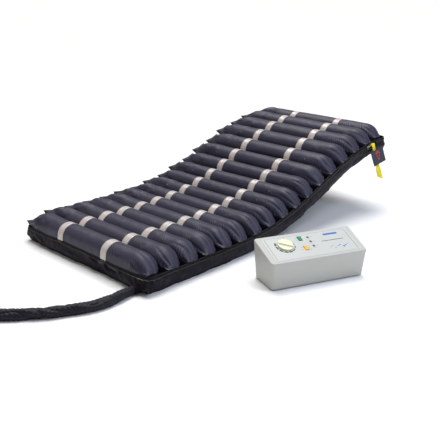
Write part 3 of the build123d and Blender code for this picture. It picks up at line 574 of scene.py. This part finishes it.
class Cell:
    """The shape of one inflated cell in its own axes: x across the mattress, along, up."""

    def __init__(self, number):
        odd = number % 2 == 1
        rng = np.random.default_rng(100 + number)
        self.left = -0.448 if odd else -0.455
        self.left_height = 0.116 + rng.uniform(-0.002, 0.002)
        self.left_ear = 0.024 if odd else 0.033
        self.right = 0.446
        self.right_height = 0.076 + rng.uniform(-0.002, 0.002)
        self.right_ear = rng.uniform(0.005, 0.009)
        if number == 1:
            self.left, self.left_height, self.left_ear = -0.438, 0.094, 0.024
            self.right, self.right_height = 0.436, 0.082
        if number == CELLS:
            self.right, self.right_height = 0.438, 0.082
        if number == 4:
            self.left, self.left_ear = -0.444, 0.024
        self.phase = rng.uniform(0, 6.28, 6)
        self.wide = lattice(200 + number, 40, 24)
        self.fine = lattice(300 + number, 160, 48)

    def stations(self):
        left = np.linspace(self.left - 0.009, -0.24, 92)
        middle = np.linspace(-0.24, 0.17, 46)[1:]
        right = np.linspace(0.17, self.right + 0.004, 146)[1:]
        return np.concatenate([left, middle, right])

    def surface(self, x, angle, raise_by=0.0):
        """Points for x and angle, an angle of 0 at the crest, more towards the head."""
        x, angle = spread_out(x, angle)
        from_left, from_right = np.maximum(x - self.left, 0), np.maximum(self.right - x, 0)
        press = np.exp(-(((np.abs(x) - BAND_X) / 0.028) ** 2))
        top = (
            CREST
            - (CREST - self.left_height - 0.0016) * (1 - rounded(from_left / 0.110, 0.85))
            - (CREST - self.right_height - 0.002) * (1 - rounded(from_right / 0.105, 0.9))
            - 0.0022 * press
            + 0.0012 * self.wide(x * 9, 1.5)
        )
        bottom = (
            0.0065
            + (self.left_height - 0.0016 - 0.0065) * (1 - rounded(from_left / 0.085, 0.6))
            + (self.right_height - 0.002 - 0.0065) * (1 - rounded(from_right / 0.066, 0.62))
        )
        half = (
            0.0568
            - 0.014 * (1 - smooth(from_left / 0.075))
            - np.where(np.sin(angle) > 0, 0.020, 0.007) * (1 - smooth(from_right / 0.060))
            - 0.0008 * press
        )
        height, centre = (top - bottom) / 2, (top + bottom) / 2
        sine, cosine = np.sin(angle), np.cos(angle)
        straight = np.sin(np.clip(2.2 * cosine, -1, 1) * math.pi / 2)
        along = half * sine
        up = centre + np.maximum(height - half, 0) * straight + np.minimum(half, height) * cosine
        swell = self.wrinkles(x, angle, from_left, from_right) + raise_by
        swell = np.where(np.abs(sine) > 0.97, np.minimum(swell, 0.0002 + raise_by), swell)
        along = along + swell * sine
        up = up + swell * cosine
        ear = np.abs(sine) ** 4
        right_tip = ear * 1.15 * np.exp(-from_right / 0.012)
        tuck = np.exp(-from_right / 0.034)
        left_tip = ear * np.where(sine < 0, 1.0, 0.25) * np.exp(-from_left / 0.016)
        x = x - self.left_ear * left_tip + self.right_ear * right_tip * (sine < 0)
        x = x - 0.026 * tuck * np.maximum(sine, 0) ** 1.5
        up = up + tuck * np.where(sine < 0, -0.012, 0.010) * sine
        return x, along, up

    def wrinkles(self, x, angle, from_left, from_right):
        flank = smooth((np.abs(angle) - 0.35) / 0.9) * smooth((2.4 - np.abs(angle)) / 0.5)
        top_side = smooth((1.9 - np.abs(angle)) / 0.6)
        uneven = smooth(0.55 + 0.9 * self.wide(x * 22, angle * 2.2 + 7))
        gather_right = (
            0.0044
            * (from_right / 0.028)
            * np.exp(1 - from_right / 0.028)
            * crease(3.9 * angle + self.phase[0] + 1.1 * self.wide(x * 12, angle * 2))
        )
        gather_left = (
            0.0030
            * (from_left / 0.018)
            * np.exp(1 - from_left / 0.018)
            * crease(5.4 * angle + self.phase[1] + 1.0 * self.wide(x * 14, angle * 2))
        )
        slant = 0.026 * angle + 0.008 * self.wide(x * 25, angle * 1.6 + 3)
        window_right = smooth((x - 0.18) / 0.10) * smooth((from_right - 0.012) / 0.03)
        pleat_right = 0.0054 * window_right * flank * uneven * crease(math.pi * (x + slant) / 0.0135 + self.phase[2])
        window_left = smooth((-0.245 - x) / 0.06) * smooth((from_left - 0.01) / 0.03)
        pleat_left = 0.0034 * window_left * top_side * uneven * crease(math.pi * (x - slant) / 0.0150 + self.phase[3])
        near_band = np.exp(-(((np.abs(x) - BAND_X - 0.034) / 0.018) ** 2)) + np.exp(
            -(((np.abs(x) - BAND_X + 0.034) / 0.018) ** 2)
        )
        tug = 0.0003 * near_band * crease(x * 330 + self.phase[4]) * flank
        soft = 0.0007 * self.fine(x * 34, angle * 3) + 0.0006 * self.wide(x * 11, angle * 1.4)
        return gather_right + gather_left + pleat_right + pleat_left + tug + soft


SHAPES = {number: Cell(number) for number in range(1, CELLS + 1)}


def section_of(cell):
    return next(name for name, (first, last, _) in SECTIONS.items() if first <= cell <= last)


def make_cells():
    angle = np.linspace(-math.pi, math.pi, AROUND, endpoint=False)
    for number, shape in SHAPES.items():
        stations = shape.stations()
        x, along, up = shape.surface(stations[:, None], angle[None, :])
        points = LINE.in_cell(number, x, along, up)
        verts = np.concatenate([points.reshape(-1, 3), [points[0].mean(0), points[-1].mean(0)]])
        faces = [tuple(reversed(f)) for f in capped_faces(len(stations), AROUND)]
        piece = new_mesh(f"inflated_cell_{number:02d}", verts, faces, CELL_CLOTH)
        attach(piece, SECTIONS[section_of(number)][2])
        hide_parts(f"air_cell_{number:02d}")


def make_bands():
    for section, (first, last, body) in SECTIONS.items():
        for side, name in ((-1, "left"), (1, "right")):
            parts, cut = [], 0.0
            across = np.linspace(-BAND_HALF, BAND_HALF, 9)
            lift = 0.0012 + 0.0010 * (1 - (across / BAND_HALF) ** 8)
            for number in range(first, last + 1):
                shape = SHAPES[number]
                angle = np.linspace(-1.62 if number == 1 else -1.95, 1.95, 60)
                sheets = []
                for extra in (0.0, -0.0012):
                    x, along, up = shape.surface(
                        side * BAND_X + across[:, None], angle[None, :], (lift + extra)[:, None]
                    )
                    sheets.append(LINE.in_cell(number, x, along, up))
                steps = np.linalg.norm(np.diff(sheets[0][4], axis=0), axis=1)
                cut += float(steps.sum())
                parts.append(slab(sheets[0], sheets[1]))
            piece = new_mesh(f"band_{name}_{section}", *merged(parts), BAND_CLOTH)
            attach(piece, body)
            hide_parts(f"cell_bands_{section}")


def make_vents():
    """Small welded air vents on the slope of the cells, beyond the bands."""
    angle = np.linspace(0, 2 * math.pi, 14, endpoint=False)
    for section, (first, last, body) in SECTIONS.items():
        parts = []
        for number in range(max(first, 6), last + 1):
            shape = SHAPES[number]
            for x0 in (-0.282, 0.282):
                rings = []
                for radius, lift in ((0.0021, -0.0006), (0.0020, 0.0006), (0.0013, 0.0008), (0.0005, 0.0002)):
                    x, along, up = shape.surface(
                        x0 + radius * np.cos(angle), -0.66 + radius / 0.056 * np.sin(angle), lift
                    )
                    rings.append(LINE.in_cell(number, x, along, up))
                points = np.concatenate([*rings, rings[-1].mean(0)[None]])
                around = len(angle)
                base = 3 * around
                faces = grid_faces(4, around, True)
                faces += [(base + c, base + (c + 1) % around, base + around) for c in range(around)]
                parts.append((points, faces))
        if parts:
            piece = new_mesh(f"vents_{section}", *merged(parts), PALE_WELD)
            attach(piece, body)


def make_seam_ends():
    """Small pale slivers at the foot-side corner of the right ends of two cells."""
    for number in (2, 4):
        shape = SHAPES[number]

        def on_end(a, b, lift):
            return LINE.in_cell(number, *shape.surface(a, b, lift))

        strip = stitch(on_end, (shape.right - 0.016, -1.28), (shape.right - 0.002, -1.44), 0.0045, 0.0012)
        piece = new_mesh(f"seam_end_{number:02d}", *strip, PALE_WELD)
        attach(piece, "root")


# ---------------------------------------------------------------- base cover
PANELS = [
    ("foot", 0, 4, "root", None, 0, ["base_cover_foot"]),
    ("a", 4, 6, "root", "thigh_section", 5, ["base_cover_foot", "base_cover_thigh"]),
    ("b", 6, 8, "thigh_section", "hip_section", 7, ["base_cover_thigh", "base_cover_hip"]),
    ("c", 8, 11.5, "hip_section", "back_section", 9, ["base_cover_hip", "base_cover_back"]),
    ("d", 11.5, 14, "back_section", "shoulder_section", 13, ["base_cover_back", "base_cover_shoulder"]),
    ("e", 14, 16, "shoulder_section", "head_section", 15, ["base_cover_shoulder", "base_cover_head"]),
    ("head", 16, 17, "head_section", None, 0, ["base_cover_head"]),
]
CORNER = 0.030
OPENING_S = EDGE[16] - 0.042
OPENING_HALF = 0.046
OPENING_SILL = 0.038
OUTLINE_STEP = 0.006
FOLD_SLOW, FOLD_FINE, EDGE_WAVE = lattice(41, 128, 16), lattice(42, 512, 32), lattice(43, 256, 4)


def follow(piece, panel):
    """Makes a piece of the cover ride on its body; a piece between two bodies is left unattached where it lies."""
    _, _, _, body, other, joint, _ = panel
    if other is None:
        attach(piece, body)
        return
    start, end = (LINE.place(EDGE[joint] + d, HINGE_HEIGHT, 0.0) for d in (-0.05, 0.05))
    tuple(start)
    tuple(end)
    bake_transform(piece)


def wall_paths(panel):
    """Runs of the wall's outline in one panel: points (s, x) and outward directions."""
    name, first, last = panel[:3]
    s0, s1 = first * LINE.pitch, last * LINE.pitch
    if name not in ("foot", "head"):
        s = np.linspace(s0, s1, int((s1 - s0) / OUTLINE_STEP) + 1)
        flat = 0 * s
        return [
            (np.stack([s, flat + side * HALF_WIDTH], axis=1), np.stack([flat, flat + side], axis=1))
            for side in (1, -1)
        ]
    end, inner, sign = (0.0, s1, -1) if name == "foot" else (LENGTH, s0, 1)
    straight = abs(inner - end) - CORNER
    count = max(4, int(straight / OUTLINE_STEP))
    turn_s, turn_x = end - sign * CORNER, HALF_WIDTH - CORNER
    arc = [(math.sin(t), math.cos(t)) for t in np.linspace(0, math.pi / 2, 16, endpoint=False)]
    run = [(inner + sign * straight * t, HALF_WIDTH, 0, 1) for t in np.linspace(0, 1, count, endpoint=False)]
    run += [(turn_s + sign * CORNER * a, turn_x + CORNER * b, sign * a, b) for a, b in arc]
    run += [(end, x, sign, 0) for x in np.linspace(turn_x, -turn_x, 134, endpoint=False)]
    run += [(turn_s + sign * CORNER * b, -turn_x - CORNER * a, sign * b, -a) for a, b in arc]
    run += [(turn_s - sign * straight * t, -HALF_WIDTH, 0, -1) for t in np.linspace(0, 1, count + 1)]
    run = np.array(run, float)
    return [(run[:, :2], run[:, 2:])]


def top_height(s, x):
    """Height of the wall's top edge: a little wavy, more so at the foot."""
    at_foot = smooth((0.03 - s) / 0.03)
    wave = 0.0010 * EDGE_WAVE(s / 0.05 + 3, 0.5) + at_foot * 0.0055 * EDGE_WAVE(x / 0.085 + 20, 1.5)
    return WALL_TOP + wave


def opening(s, x):
    """1 inside the deflate opening of the right wall, else 0."""
    return smooth((OPENING_HALF - np.abs(s - OPENING_S)) / 0.006) * (x > 0.44)


def wall_offset(s, x, out, v):
    """How far the wall's outer face stands out at a share v of its height."""
    corner = np.clip(np.abs(out[..., 0] * out[..., 1]) * 2, 0, 1)
    foot_end = smooth((0.09 - s) / 0.05)
    near_corner = np.exp(-((s / 0.10) ** 2) - ((HALF_WIDTH - x) / 0.10) ** 2)
    run = s / 0.11 * np.abs(out[..., 1]) + x / 0.11 * np.abs(out[..., 0])
    hem = 0.0060 * FOLD_SLOW(run * 1.4 + 50, 0.5) + 0.0030 * FOLD_SLOW(run * 4 + 20, 2.5)
    tuck = (hem - 0.008 - 0.004 * corner - 0.004 * foot_end) * (1 - smooth(v / 0.45))
    belly = (0.0035 + 0.010 * near_corner) * np.sin(math.pi * np.clip(v, 0, 1)) ** 0.8
    free = np.sin(math.pi * np.clip(v, 0, 1)) ** 0.6
    folds = 0.0050 * FOLD_SLOW(run + 1.6 * v, 2.2 * v + 3) + 0.0052 * crease(
        run * 3.1 + 2.4 * v + 1.8 * FOLD_SLOW(run * 1.7 + 9, 1.5 * v)
    ) * FOLD_SLOW(run * 0.9 + 30, v + 5)
    fine = 0.0016 * FOLD_FINE(run * 7, 6 * v)
    gathers = 0.0048 * near_corner * crease(run * 9 + 3 * v + 2 * FOLD_SLOW(run * 3, 2 * v))
    return tuck + belly + free * (folds * (1 + 0.5 * foot_end) + fine + gathers)


def beside(s, x, ds, dx, offset, height):
    """Points at an offset outwards from the wall's outline."""
    return LINE.place(s + ds * offset, height, x + dx * offset)


def make_cover():
    share = np.concatenate([np.linspace(0, 0.3, 8, endpoint=False), np.linspace(0.3, 1, 15)])
    for panel in PANELS:
        name, first, last, _, _, _, nodes = panel
        parts = []
        for points, out in wall_paths(panel):
            s, x, ds, dx = points[:, :1], points[:, 1:], out[:, :1], out[:, 1:]
            v = share[None, :] + 0 * s
            direction = np.stack([ds + 0 * v, dx + 0 * v], axis=-1)
            top = top_height(s, x) * (1 - opening(s, x)) + OPENING_SILL * opening(s, x)
            outer = wall_offset(s, x, direction, v)
            sag = 0.0016 * FOLD_SLOW(s / 0.05 + x / 0.05 + 40, 7.5) * (1 - v)
            h = np.where(v <= 0, 0.0008, np.maximum(0.0008, top * v + sag * (v < 0.5)))
            front = beside(s, x, ds, dx, outer, h)
            back = beside(s, x, ds, dx, outer - WALL, np.maximum(h, 0.0046 * (v < 0.06)))
            parts.append(slab(front, back))
        s0, s1 = first * LINE.pitch, last * LINE.pitch
        rows = np.linspace(s0, s1, max(6, int((s1 - s0) / 0.012)))
        edge = np.clip(np.minimum(rows, LENGTH - rows) / CORNER, 0, 1)
        half = HALF_WIDTH - 0.013 - CORNER * (1 - np.sqrt(1 - (1 - edge) ** 2))
        rows = np.clip(rows, 0.014, LENGTH - 0.014)
        columns = np.linspace(-1, 1, 60)
        s, x = rows[:, None] + 0 * columns, half[:, None] * columns
        dent = 0.0006 * FOLD_SLOW(s / 0.06, x / 0.06 + 8)
        parts.append(slab(LINE.place(s, 0.0044 + dent, x), LINE.place(s, 0.0006 + np.maximum(dent, 0), x)))
        piece = new_mesh(f"cover_{name}", *merged(parts), COVER_CLOTH)
        follow(piece, panel)
        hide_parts(*nodes)


def make_edges():
    """The rolled binding, the zip tape and its teeth round the top edge of the cover."""
    round_angle = np.linspace(0, 2 * math.pi, 12, endpoint=False)
    for panel in PANELS:
        name = panel[0]
        binding, tape, teeth = [], [], []
        for points, out in wall_paths(panel):
            s, x, ds, dx = points[:, :1], points[:, 1:], out[:, :1], out[:, 1:]
            top = top_height(s, x)
            wobble = 0.0007 * FOLD_FINE(s * 40 + x * 40, 3.5)
            o = -WALL / 2 + 0.0004 + wobble + 0.0040 * np.cos(round_angle)
            ring = beside(s, x, ds, dx, o, top + 0.0012 + 0.0040 * np.sin(round_angle))
            around = len(round_angle)
            count = len(s) * around
            faces = grid_faces(len(s), around, True)
            faces += [tuple(range(around - 1, -1, -1)), tuple(range(count - around, count))]
            binding.append((ring, faces))
            face_out = wall_offset(s, x, np.stack([ds, dx], -1), np.full((1, 1), 0.86))
            keep = np.flatnonzero(opening(s, x)[:, 0] < 0.5)
            across = np.linspace(0, 1, 5)
            for store, low, high, stand in ((tape, 0.0125, 0.0022, 0.0010), (teeth, 0.0086, 0.0062, 0.0024)):
                lie = np.maximum(face_out, -0.001) * (1 - across * 0.8) + stand
                height = top - (low + (high - low) * across)
                front = beside(s, x, ds, dx, lie, height)
                back = beside(s, x, ds, dx, lie - stand - 0.0012, height)
                for span in np.split(keep, np.flatnonzero(np.diff(keep) > 1) + 1):
                    if len(span) > 1:
                        store.append(slab(front[span], back[span]))
        for kind, store, material, slot in (
            ("binding", binding, BINDING_CLOTH, "cover_fabric"),
            ("zip_tape", tape, BINDING_CLOTH, "cover_fabric"),
            ("zip_teeth", teeth, ZIP_TEETH, "zip_metal"),
        ):
            if store:
                piece = new_mesh(f"{kind}_{name}", *merged(store), material)
                follow(piece, panel)


# ---------------------------------------------------------------- quick deflate tag and strap
def release_frame():
    point, tangent = LINE.at(OPENING_S)
    run = Vector((0, tangent[0], tangent[1]))
    up = Vector((0, -tangent[1], tangent[0]))
    return Vector((0, point[0], point[1])), run, up


HANG = math.radians(15)
STRAP_LINE = [
    (0.4455, 0.0570),
    (0.4500, 0.0572),
    (0.4535, 0.0655),
    (0.4572, 0.0715),
    (0.4610, 0.0712),
    (0.4640, 0.0660),
    (0.4720, 0.0330),
    (0.4845, -0.0150),
    (0.4990, -0.0680),
    (0.4635 + 0.196 * math.tan(HANG), -0.1290),
]


def make_tag():
    _, run, up = release_frame()
    low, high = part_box("release_tag")
    down = Vector((math.sin(HANG), 0, 0)) - up * math.cos(HANG)
    outward = Vector((math.cos(HANG), 0, 0)) + up * math.sin(HANG)
    width, drop = 0.130, 0.085
    top = (low + high) / 2 - down * drop / 2
    bend = lattice(51, 16, 16)

    def on_tag(a, b, lift):
        """Point on the tag: a along its width, b down it, lift off its face."""
        wave = 0.0022 * bend(a / 0.05 + 3, b / 0.05) * min(1, b / 0.02) + 0.004 * (b / drop) ** 2
        return top + run * a + down * b + outward * (wave + lift)

    a_values, b_values = np.linspace(-width / 2, width / 2, 40), np.linspace(0, drop, 28)
    front = np.array([[on_tag(a, b, 0.0009) for b in b_values] for a in a_values])
    back = np.array([[on_tag(a, b, -0.0009) for b in b_values] for a in a_values])
    tag = new_mesh("tag_cloth_panel", *slab(front, back), TAG_CLOTH)
    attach(tag, "release_flap")
    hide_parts("release_tag")

    hem = []
    outline = [(-1, 0.004, 1, 0.004), (1, 0.004, 1, 0.081), (1, 0.081, -1, 0.081), (-1, 0.081, -1, 0.004)]
    for a0, b0, a1, b1 in outline:
        a0, a1 = a0 * (width / 2 - 0.004), a1 * (width / 2 - 0.004)
        count = int(max(abs(a1 - a0), abs(b1 - b0)) / 0.0042)
        for k in range(count):
            ends = [(k + 0.15) / count, (k + 0.80) / count]
            start, end = [(a0 + (a1 - a0) * t, b0 + (b1 - b0) * t) for t in ends]
            hem.append(stitch(on_tag, start, end, 0.0005, 0.0012))
    thread = new_mesh("tag_stitching", *merged(hem), BINDING_CLOTH)
    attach(thread, "release_flap")

    arrow = [(-0.020, 0.022), (0.020, 0.022), (0.0, 0.062), (-0.020, 0.022)]
    arrow += [(-0.010, 0.022), (-0.010, 0.012), (0.010, 0.012), (0.010, 0.022)]
    marks = [stitch(on_tag, p, q, 0.0021, 0.0016) for p, q in zip(arrow, arrow[1:])]
    arrow_mark = new_mesh("tag_arrow_mark", *merged(marks), RED_THREAD)
    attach(arrow_mark, "release_flap")



def make_strap():
    origin, run, up = release_frame()
    path = [origin + Vector((x, 0, 0)) + up * z for x, z in STRAP_LINE]
    dense, cumulative = smooth_path(path, 70)
    half = 0.0145
    columns = np.linspace(-half, half, 9)
    side = math.copysign(1, (dense[40] - dense[38]).cross(run).x)

    def across_strap(share, face):
        turn = 0.62 * float(smooth((share - 0.62) / 0.2))
        return run * math.cos(turn) + face * side * math.sin(turn)

    fronts, backs = [], []
    for k, point in enumerate(dense):
        before, after = dense[max(k - 1, 0)], dense[min(k + 1, len(dense) - 1)]
        tangent = (after - before).normalized()
        face = tangent.cross(run).normalized()
        share = cumulative[k] / cumulative[-1]
        row_front, row_back = [], []
        for c in columns:
            cup = 0.0006 * (c / half) ** 2
            slant = 0.010 * (c / half) * smooth((share - 0.9) / 0.1)
            base = point + across_strap(share, face) * c
            base += tangent * float(slant) - face * float(cup)
            row_front.append(base + face * 0.0008)
            row_back.append(base - face * 0.0008)
        fronts.append(row_front)
        backs.append(row_back)
    strap = new_mesh("pull_strap_webbing", *slab(np.array(fronts), np.array(backs)), WEBBING)
    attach(strap, "release_pull")
    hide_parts("pull_strap")

    def on_strap(c, t, lift):
        k = min(len(dense) - 2, max(0, int(np.searchsorted(cumulative, t)) - 1))
        span = cumulative[k + 1] - cumulative[k]
        point = dense[k].lerp(dense[k + 1], (t - cumulative[k]) / span)
        tangent = (dense[k + 1] - dense[k]).normalized()
        face = tangent.cross(run).normalized()
        across = across_strap(t / cumulative[-1], face)
        return point + across * c + tangent.cross(across) * side * (lift + 0.0008)

    chevrons = []
    for row in range(3):
        t = float(cumulative[-1]) - 0.098 + row * 0.011
        for start, end in (((-0.006, t), (0.0, t + 0.006)), ((0.0, t + 0.006), (0.006, t))):
            chevrons.append(stitch(on_strap, start, end, 0.0018, 0.0006))
    strap_mark = new_mesh("strap_mark", *merged(chevrons), RED_THREAD)
    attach(strap_mark, "release_pull")


def stitch(place, start, end, half_width, lift):
    """A raised run of thread from start to end on a surface given by place(a, b, lift)."""
    (a0, b0), (a1, b1) = start, end
    length = math.hypot(a1 - a0, b1 - b0)
    nx, ny = -(b1 - b0) / length * half_width, (a1 - a0) / length * half_width
    rows = max(3, int(length / 0.004) + 2)
    front, back = [], []
    for t in np.linspace(0, 1, rows):
        end_round = 1 - 0.4 * abs(2 * t - 1) ** 6
        row_front, row_back = [], []
        for c in np.linspace(-1, 1, 5):
            a = a0 + (a1 - a0) * t + nx * c * end_round
            b = b0 + (b1 - b0) * t + ny * c * end_round
            row_front.append(place(a, b, lift + 0.0005 * (1 - c * c)))
            row_back.append(place(a, b, lift - 0.0006))
        front.append(row_front)
        back.append(row_back)
    return slab(np.array(front), np.array(back))


def smooth_path(points, count):
    """Points along a smooth line through the given ones, with their running length."""
    knots = [points[0] * 2 - points[1], *points, points[-1] * 2 - points[-2]]
    fine = []
    for k in range(1, len(knots) - 2):
        a, b, c, d = knots[k - 1 : k + 3]
        for t in np.linspace(0, 1, 24, endpoint=k == len(knots) - 3).tolist():
            bend = (2 * a - 5 * b + 4 * c - d) * t**2 + (3 * b - a - 3 * c + d) * t**3
            fine.append(0.5 * (2 * b + (c - a) * t + bend))
    array = np.array(fine)
    along = np.concatenate([[0], np.cumsum(np.linalg.norm(np.diff(array, axis=0), axis=1))])
    at = np.linspace(0, along[-1], count)
    even = np.stack([np.interp(at, along, array[:, k]) for k in range(3)], axis=1)
    return [Vector(p) for p in even], at


# ---------------------------------------------------------------- control unit
UNIT_TURN = math.radians(67)
PANEL_SIZE = (0.436, 0.150)
KNOB_AT = (-0.126, 0.014)
LENS_X = 0.004
LENS_ROWS = (0.046, 0.017, -0.013)
RIM_POINTS = 28
ROCKER_TILT = math.radians(7)


class Panel:
    """The sloping top of the control unit: a along it, b up the slope, both from its middle."""

    def __init__(self):
        low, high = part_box("control_panel")
        self.run = Vector((math.cos(UNIT_TURN), math.sin(UNIT_TURN), 0))
        across = Vector((-math.sin(UNIT_TURN), math.cos(UNIT_TURN), 0))
        rise = (high.z - low.z - 0.0008) / PANEL_SIZE[1]
        self.slope = across * math.sqrt(1 - rise * rise) + Vector((0, 0, rise))
        self.normal = self.run.cross(self.slope)
        self.middle = (low + high) / 2 + self.normal * 0.0004

    def place(self, a, b, lift=0.0):
        return self.middle + self.run * a + self.slope * b + self.normal * lift


PANEL = Panel()


def printed(name, outlines, material, thickness=0.00018):
    """Flat printed shapes on the panel, from outlines of (a, b)."""
    parts = []
    for outline in outlines:
        count = len(outline)
        verts = [PANEL.place(a, b, lift) for lift in (thickness, -0.00005) for a, b in outline]
        faces = [tuple(range(count)), tuple(range(2 * count - 1, count - 1, -1))]
        faces += [((k + 1) % count, k, count + k, count + (k + 1) % count) for k in range(count)]
        parts.append((np.array(verts), faces))
    piece = new_mesh(name, *merged(parts), material, smooth=False)
    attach(piece, "root")


def arc_strip(centre, radius, start, end, width):
    """Outline of a curved bar round a centre, angles in degrees."""
    angles = np.radians(np.linspace(start, end, 14))
    rim = [(radius + width, a) for a in angles] + [(radius, a) for a in reversed(angles)]
    return [(centre[0] + r * math.cos(a), centre[1] + r * math.sin(a)) for r, a in rim]


def bar(a0, b0, a1, b1):
    return [(a0, b0), (a1, b0), (a1, b1), (a0, b1)]


def ring_points(a, b, radius):
    turns = [2 * math.pi * k / RIM_POINTS for k in range(RIM_POINTS)]
    return [(a + radius * math.cos(t), b + radius * math.sin(t)) for t in turns]


def make_print():
    steps = 9
    scale = []
    for k in range(steps):
        start = 150 + k * 29
        width = 0.0074 * (1 - k / steps) + 0.0014
        scale.append(arc_strip(KNOB_AT, 0.0415, start, start + 23, width))
    printed("scale_ring", scale, INK_BLACK)
    half_a, half_b = PANEL_SIZE[0] / 2 - 0.012, PANEL_SIZE[1] / 2 - 0.006
    border = [bar(side * half_a - 0.0010, -half_b, side * half_a + 0.0010, half_b) for side in (-1, 1)]
    border.append(bar(-half_a, half_b - 0.0006, half_a, half_b + 0.0004))
    printed("panel_border", border, INK_GREY)
    marks = [bar(-0.062, b - 0.0006, -0.054, b + 0.0006) for b in (0.050, 0.037, -0.014, -0.027)]
    for row in LENS_ROWS:
        marks.append(bar(LENS_X - 0.006, row - 0.0122, LENS_X + 0.006, row - 0.0110))
        marks.append(bar(LENS_X + 0.011, row - 0.0008, LENS_X + 0.024, row + 0.0004))
    marks.append(bar(-0.0215, -0.034, -0.0205, -0.006))
    for angle in (100, 72):
        a, b = (KNOB_AT[k] + 0.053 * (math.cos, math.sin)[k](math.radians(angle)) for k in (0, 1))
        marks.append(bar(a - 0.004, b - 0.0008, a + 0.004, b + 0.0008))
    printed("small_marks", marks, INK_GREY)
    tiles = [(0.072, 0.0012), (0.081, 0.0014), (0.092, 0.0018), (0.102, 0.0022), (0.118, 0.0026)]
    tiles += [(0.131, 0.0032), (0.146, 0.0042), (0.158, 0.0030), (0.170, 0.0022)]
    dots = []
    for k, (a, half) in enumerate(tiles):
        b = -0.037 + 0.006 * (k % 3 - 1)
        dots.append(bar(a - half, b - half, a + half, b + half))
    printed("blue_marks", [bar(0.086, 0.043, 0.160, 0.054)] + dots, INK_BLUE)
    printed("dark_line", [bar(0.056, 0.0055, 0.170, 0.0085)], INK_BLACK)
    rims = []
    for row in LENS_ROWS:
        outer, inner = ring_points(LENS_X, row, 0.0066), ring_points(LENS_X, row, 0.0042)
        for k in range(RIM_POINTS):
            j = (k + 1) % RIM_POINTS
            rims.append([outer[k], outer[j], inner[j], inner[k]])
    printed("lens_rims", rims, INK_GREY)


def make_key_marks():
    """Raised line on each half of the two rockers, which ride with them."""
    for node, body in (("power_rocker", "power_switch"), ("mode_rocker", "mode_switch")):
        low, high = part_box(node)
        local = (low + high) / 2 - PANEL.middle
        slope = PANEL.slope * math.cos(ROCKER_TILT) + PANEL.normal * math.sin(ROCKER_TILT)
        normal = PANEL.run.cross(slope)
        top = PANEL.place(local.dot(PANEL.run), local.dot(PANEL.slope), -0.0048) + normal * 0.0066
        parts = []
        for sign in (1, -1):
            b0, b1 = sign * 0.0035, sign * 0.0085
            corners = [(-0.0007, b0), (0.0007, b0), (0.0007, b1), (-0.0007, b1)]
            rise = 0.0024 / 0.0125
            upper = [top + PANEL.run * p + slope * q + normal * (abs(q) * rise + 0.00025) for p, q in corners]
            lower = [u - normal * 0.0004 for u in upper]
            faces = [(0, 1, 2, 3), (7, 6, 5, 4)]
            faces += [((k + 1) % 4, k, 4 + k, 4 + (k + 1) % 4) for k in range(4)]
            parts.append((np.array(upper + lower), faces))
        piece = new_mesh(f"{node}_marks", *merged(parts), PANEL_FILM, smooth=False)
        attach(piece, body)


NODE_MATERIALS = {
    "unit_case": CASE_WHITE,
    "unit_base": CASE_WHITE,
    "rubber_feet": RUBBER,
    "base_screws": STEEL,
    "control_panel": PANEL_FILM,
    "pressure_knob": KNOB_CREAM,
    "power_rocker": GREEN_KEY,
    "mode_rocker": YELLOW_KEY,
    "indicator_lenses": LENS,
    "air_outlets": GREY_PLASTIC,
    "mains_inlet": BLACK_PLASTIC,
    "bed_hooks": COATED,
    "compressor": CAST,
    "compressor_arm": GREY_PLASTIC,
    "distributor": GREY_PLASTIC,
    "distributor_rotor": BLACK_PLASTIC,
    "circuit_board": BOARD,
    "release_valve": GREY_PLASTIC,
    "release_plugs": CLEAR_TUBE,
    "zip_slider": ZIP_METAL,
    "hose_connector": GREY_PLASTIC,
}


def dress_nodes():
    """Gives every CAD node that shows its own material."""
    for name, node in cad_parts.items():
        if node.hide_render:
            continue
        shader = CLEAR_TUBE if name.startswith("air_lines") else NODE_MATERIALS[name]
        node.data.materials.clear()
        node.data.materials.append(shader.material)


# ---------------------------------------------------------------- floor and light
FLOOR = Shader("floor_paper", Roughness=0.85, Specular_IOR_Level=0.1)
FLOOR.color(FLOOR.ramp(FLOOR.noise(0.8, 3), (0.3, (0.90, 0.90, 0.90)), (0.7, (0.93, 0.93, 0.93))))
FLOOR_REACH = 900


def make_stage():
    corners = [(FLOOR_REACH * x, FLOOR_REACH * y, 0) for x, y in ((-1, -1), (1, -1), (1, 1), (-1, 1))]
    new_mesh("floor", corners, [(0, 1, 2, 3)], FLOOR, smooth=False)


def lamp(name, kind, energy, tint, direction, place=(0, 0, 0)):
    data = bpy.data.lights.new(name, kind)
    data.energy = energy
    data.color = tint
    holder = bpy.data.objects.new(name, data)
    bpy.context.scene.collection.objects.link(holder)
    holder.location = place
    holder.rotation_mode = "QUATERNION"
    holder.rotation_quaternion = direction.to_track_quat("-Z", "Y")
    return data


def softbox(name, place, target, size, power, tint):
    data = lamp(name, "AREA", power, tint, Vector(target) - Vector(place), place)
    data.shape = "RECTANGLE"
    data.size, data.size_y = size


def make_light():
    view = bpy.context.scene.view_settings
    view.view_transform, view.look = "Standard", "None"
    world = bpy.data.worlds.new("studio")
    bpy.context.scene.world = world
    world.use_nodes = True
    backdrop = world.node_tree.nodes["Background"].inputs
    backdrop["Color"].default_value = (1, 1, 1, 1)
    backdrop["Strength"].default_value = 0.25
    sky = lamp("sky_light", "SUN", 3.0, (1, 0.985, 0.97), Vector((0.32, -0.24, -1.0)))
    sky.angle = math.radians(42)
    softbox("left_strip", (-3.2, -1.4, 2.2), (0, 0.3, 0.1), (1.4, 2.6), 8, (1, 0.96, 0.93))
    softbox("right_fill", (2.6, 1.4, 2.8), (0.3, 0.4, 0.1), (1.2, 2.4), 60, (0.74, 0.82, 1))


make_camera()
make_hose()
make_cells()
make_bands()
make_vents()
make_seam_ends()
make_cover()
make_edges()
make_tag()
make_strap()
make_print()
make_key_marks()
dress_nodes()
make_stage()
make_light()
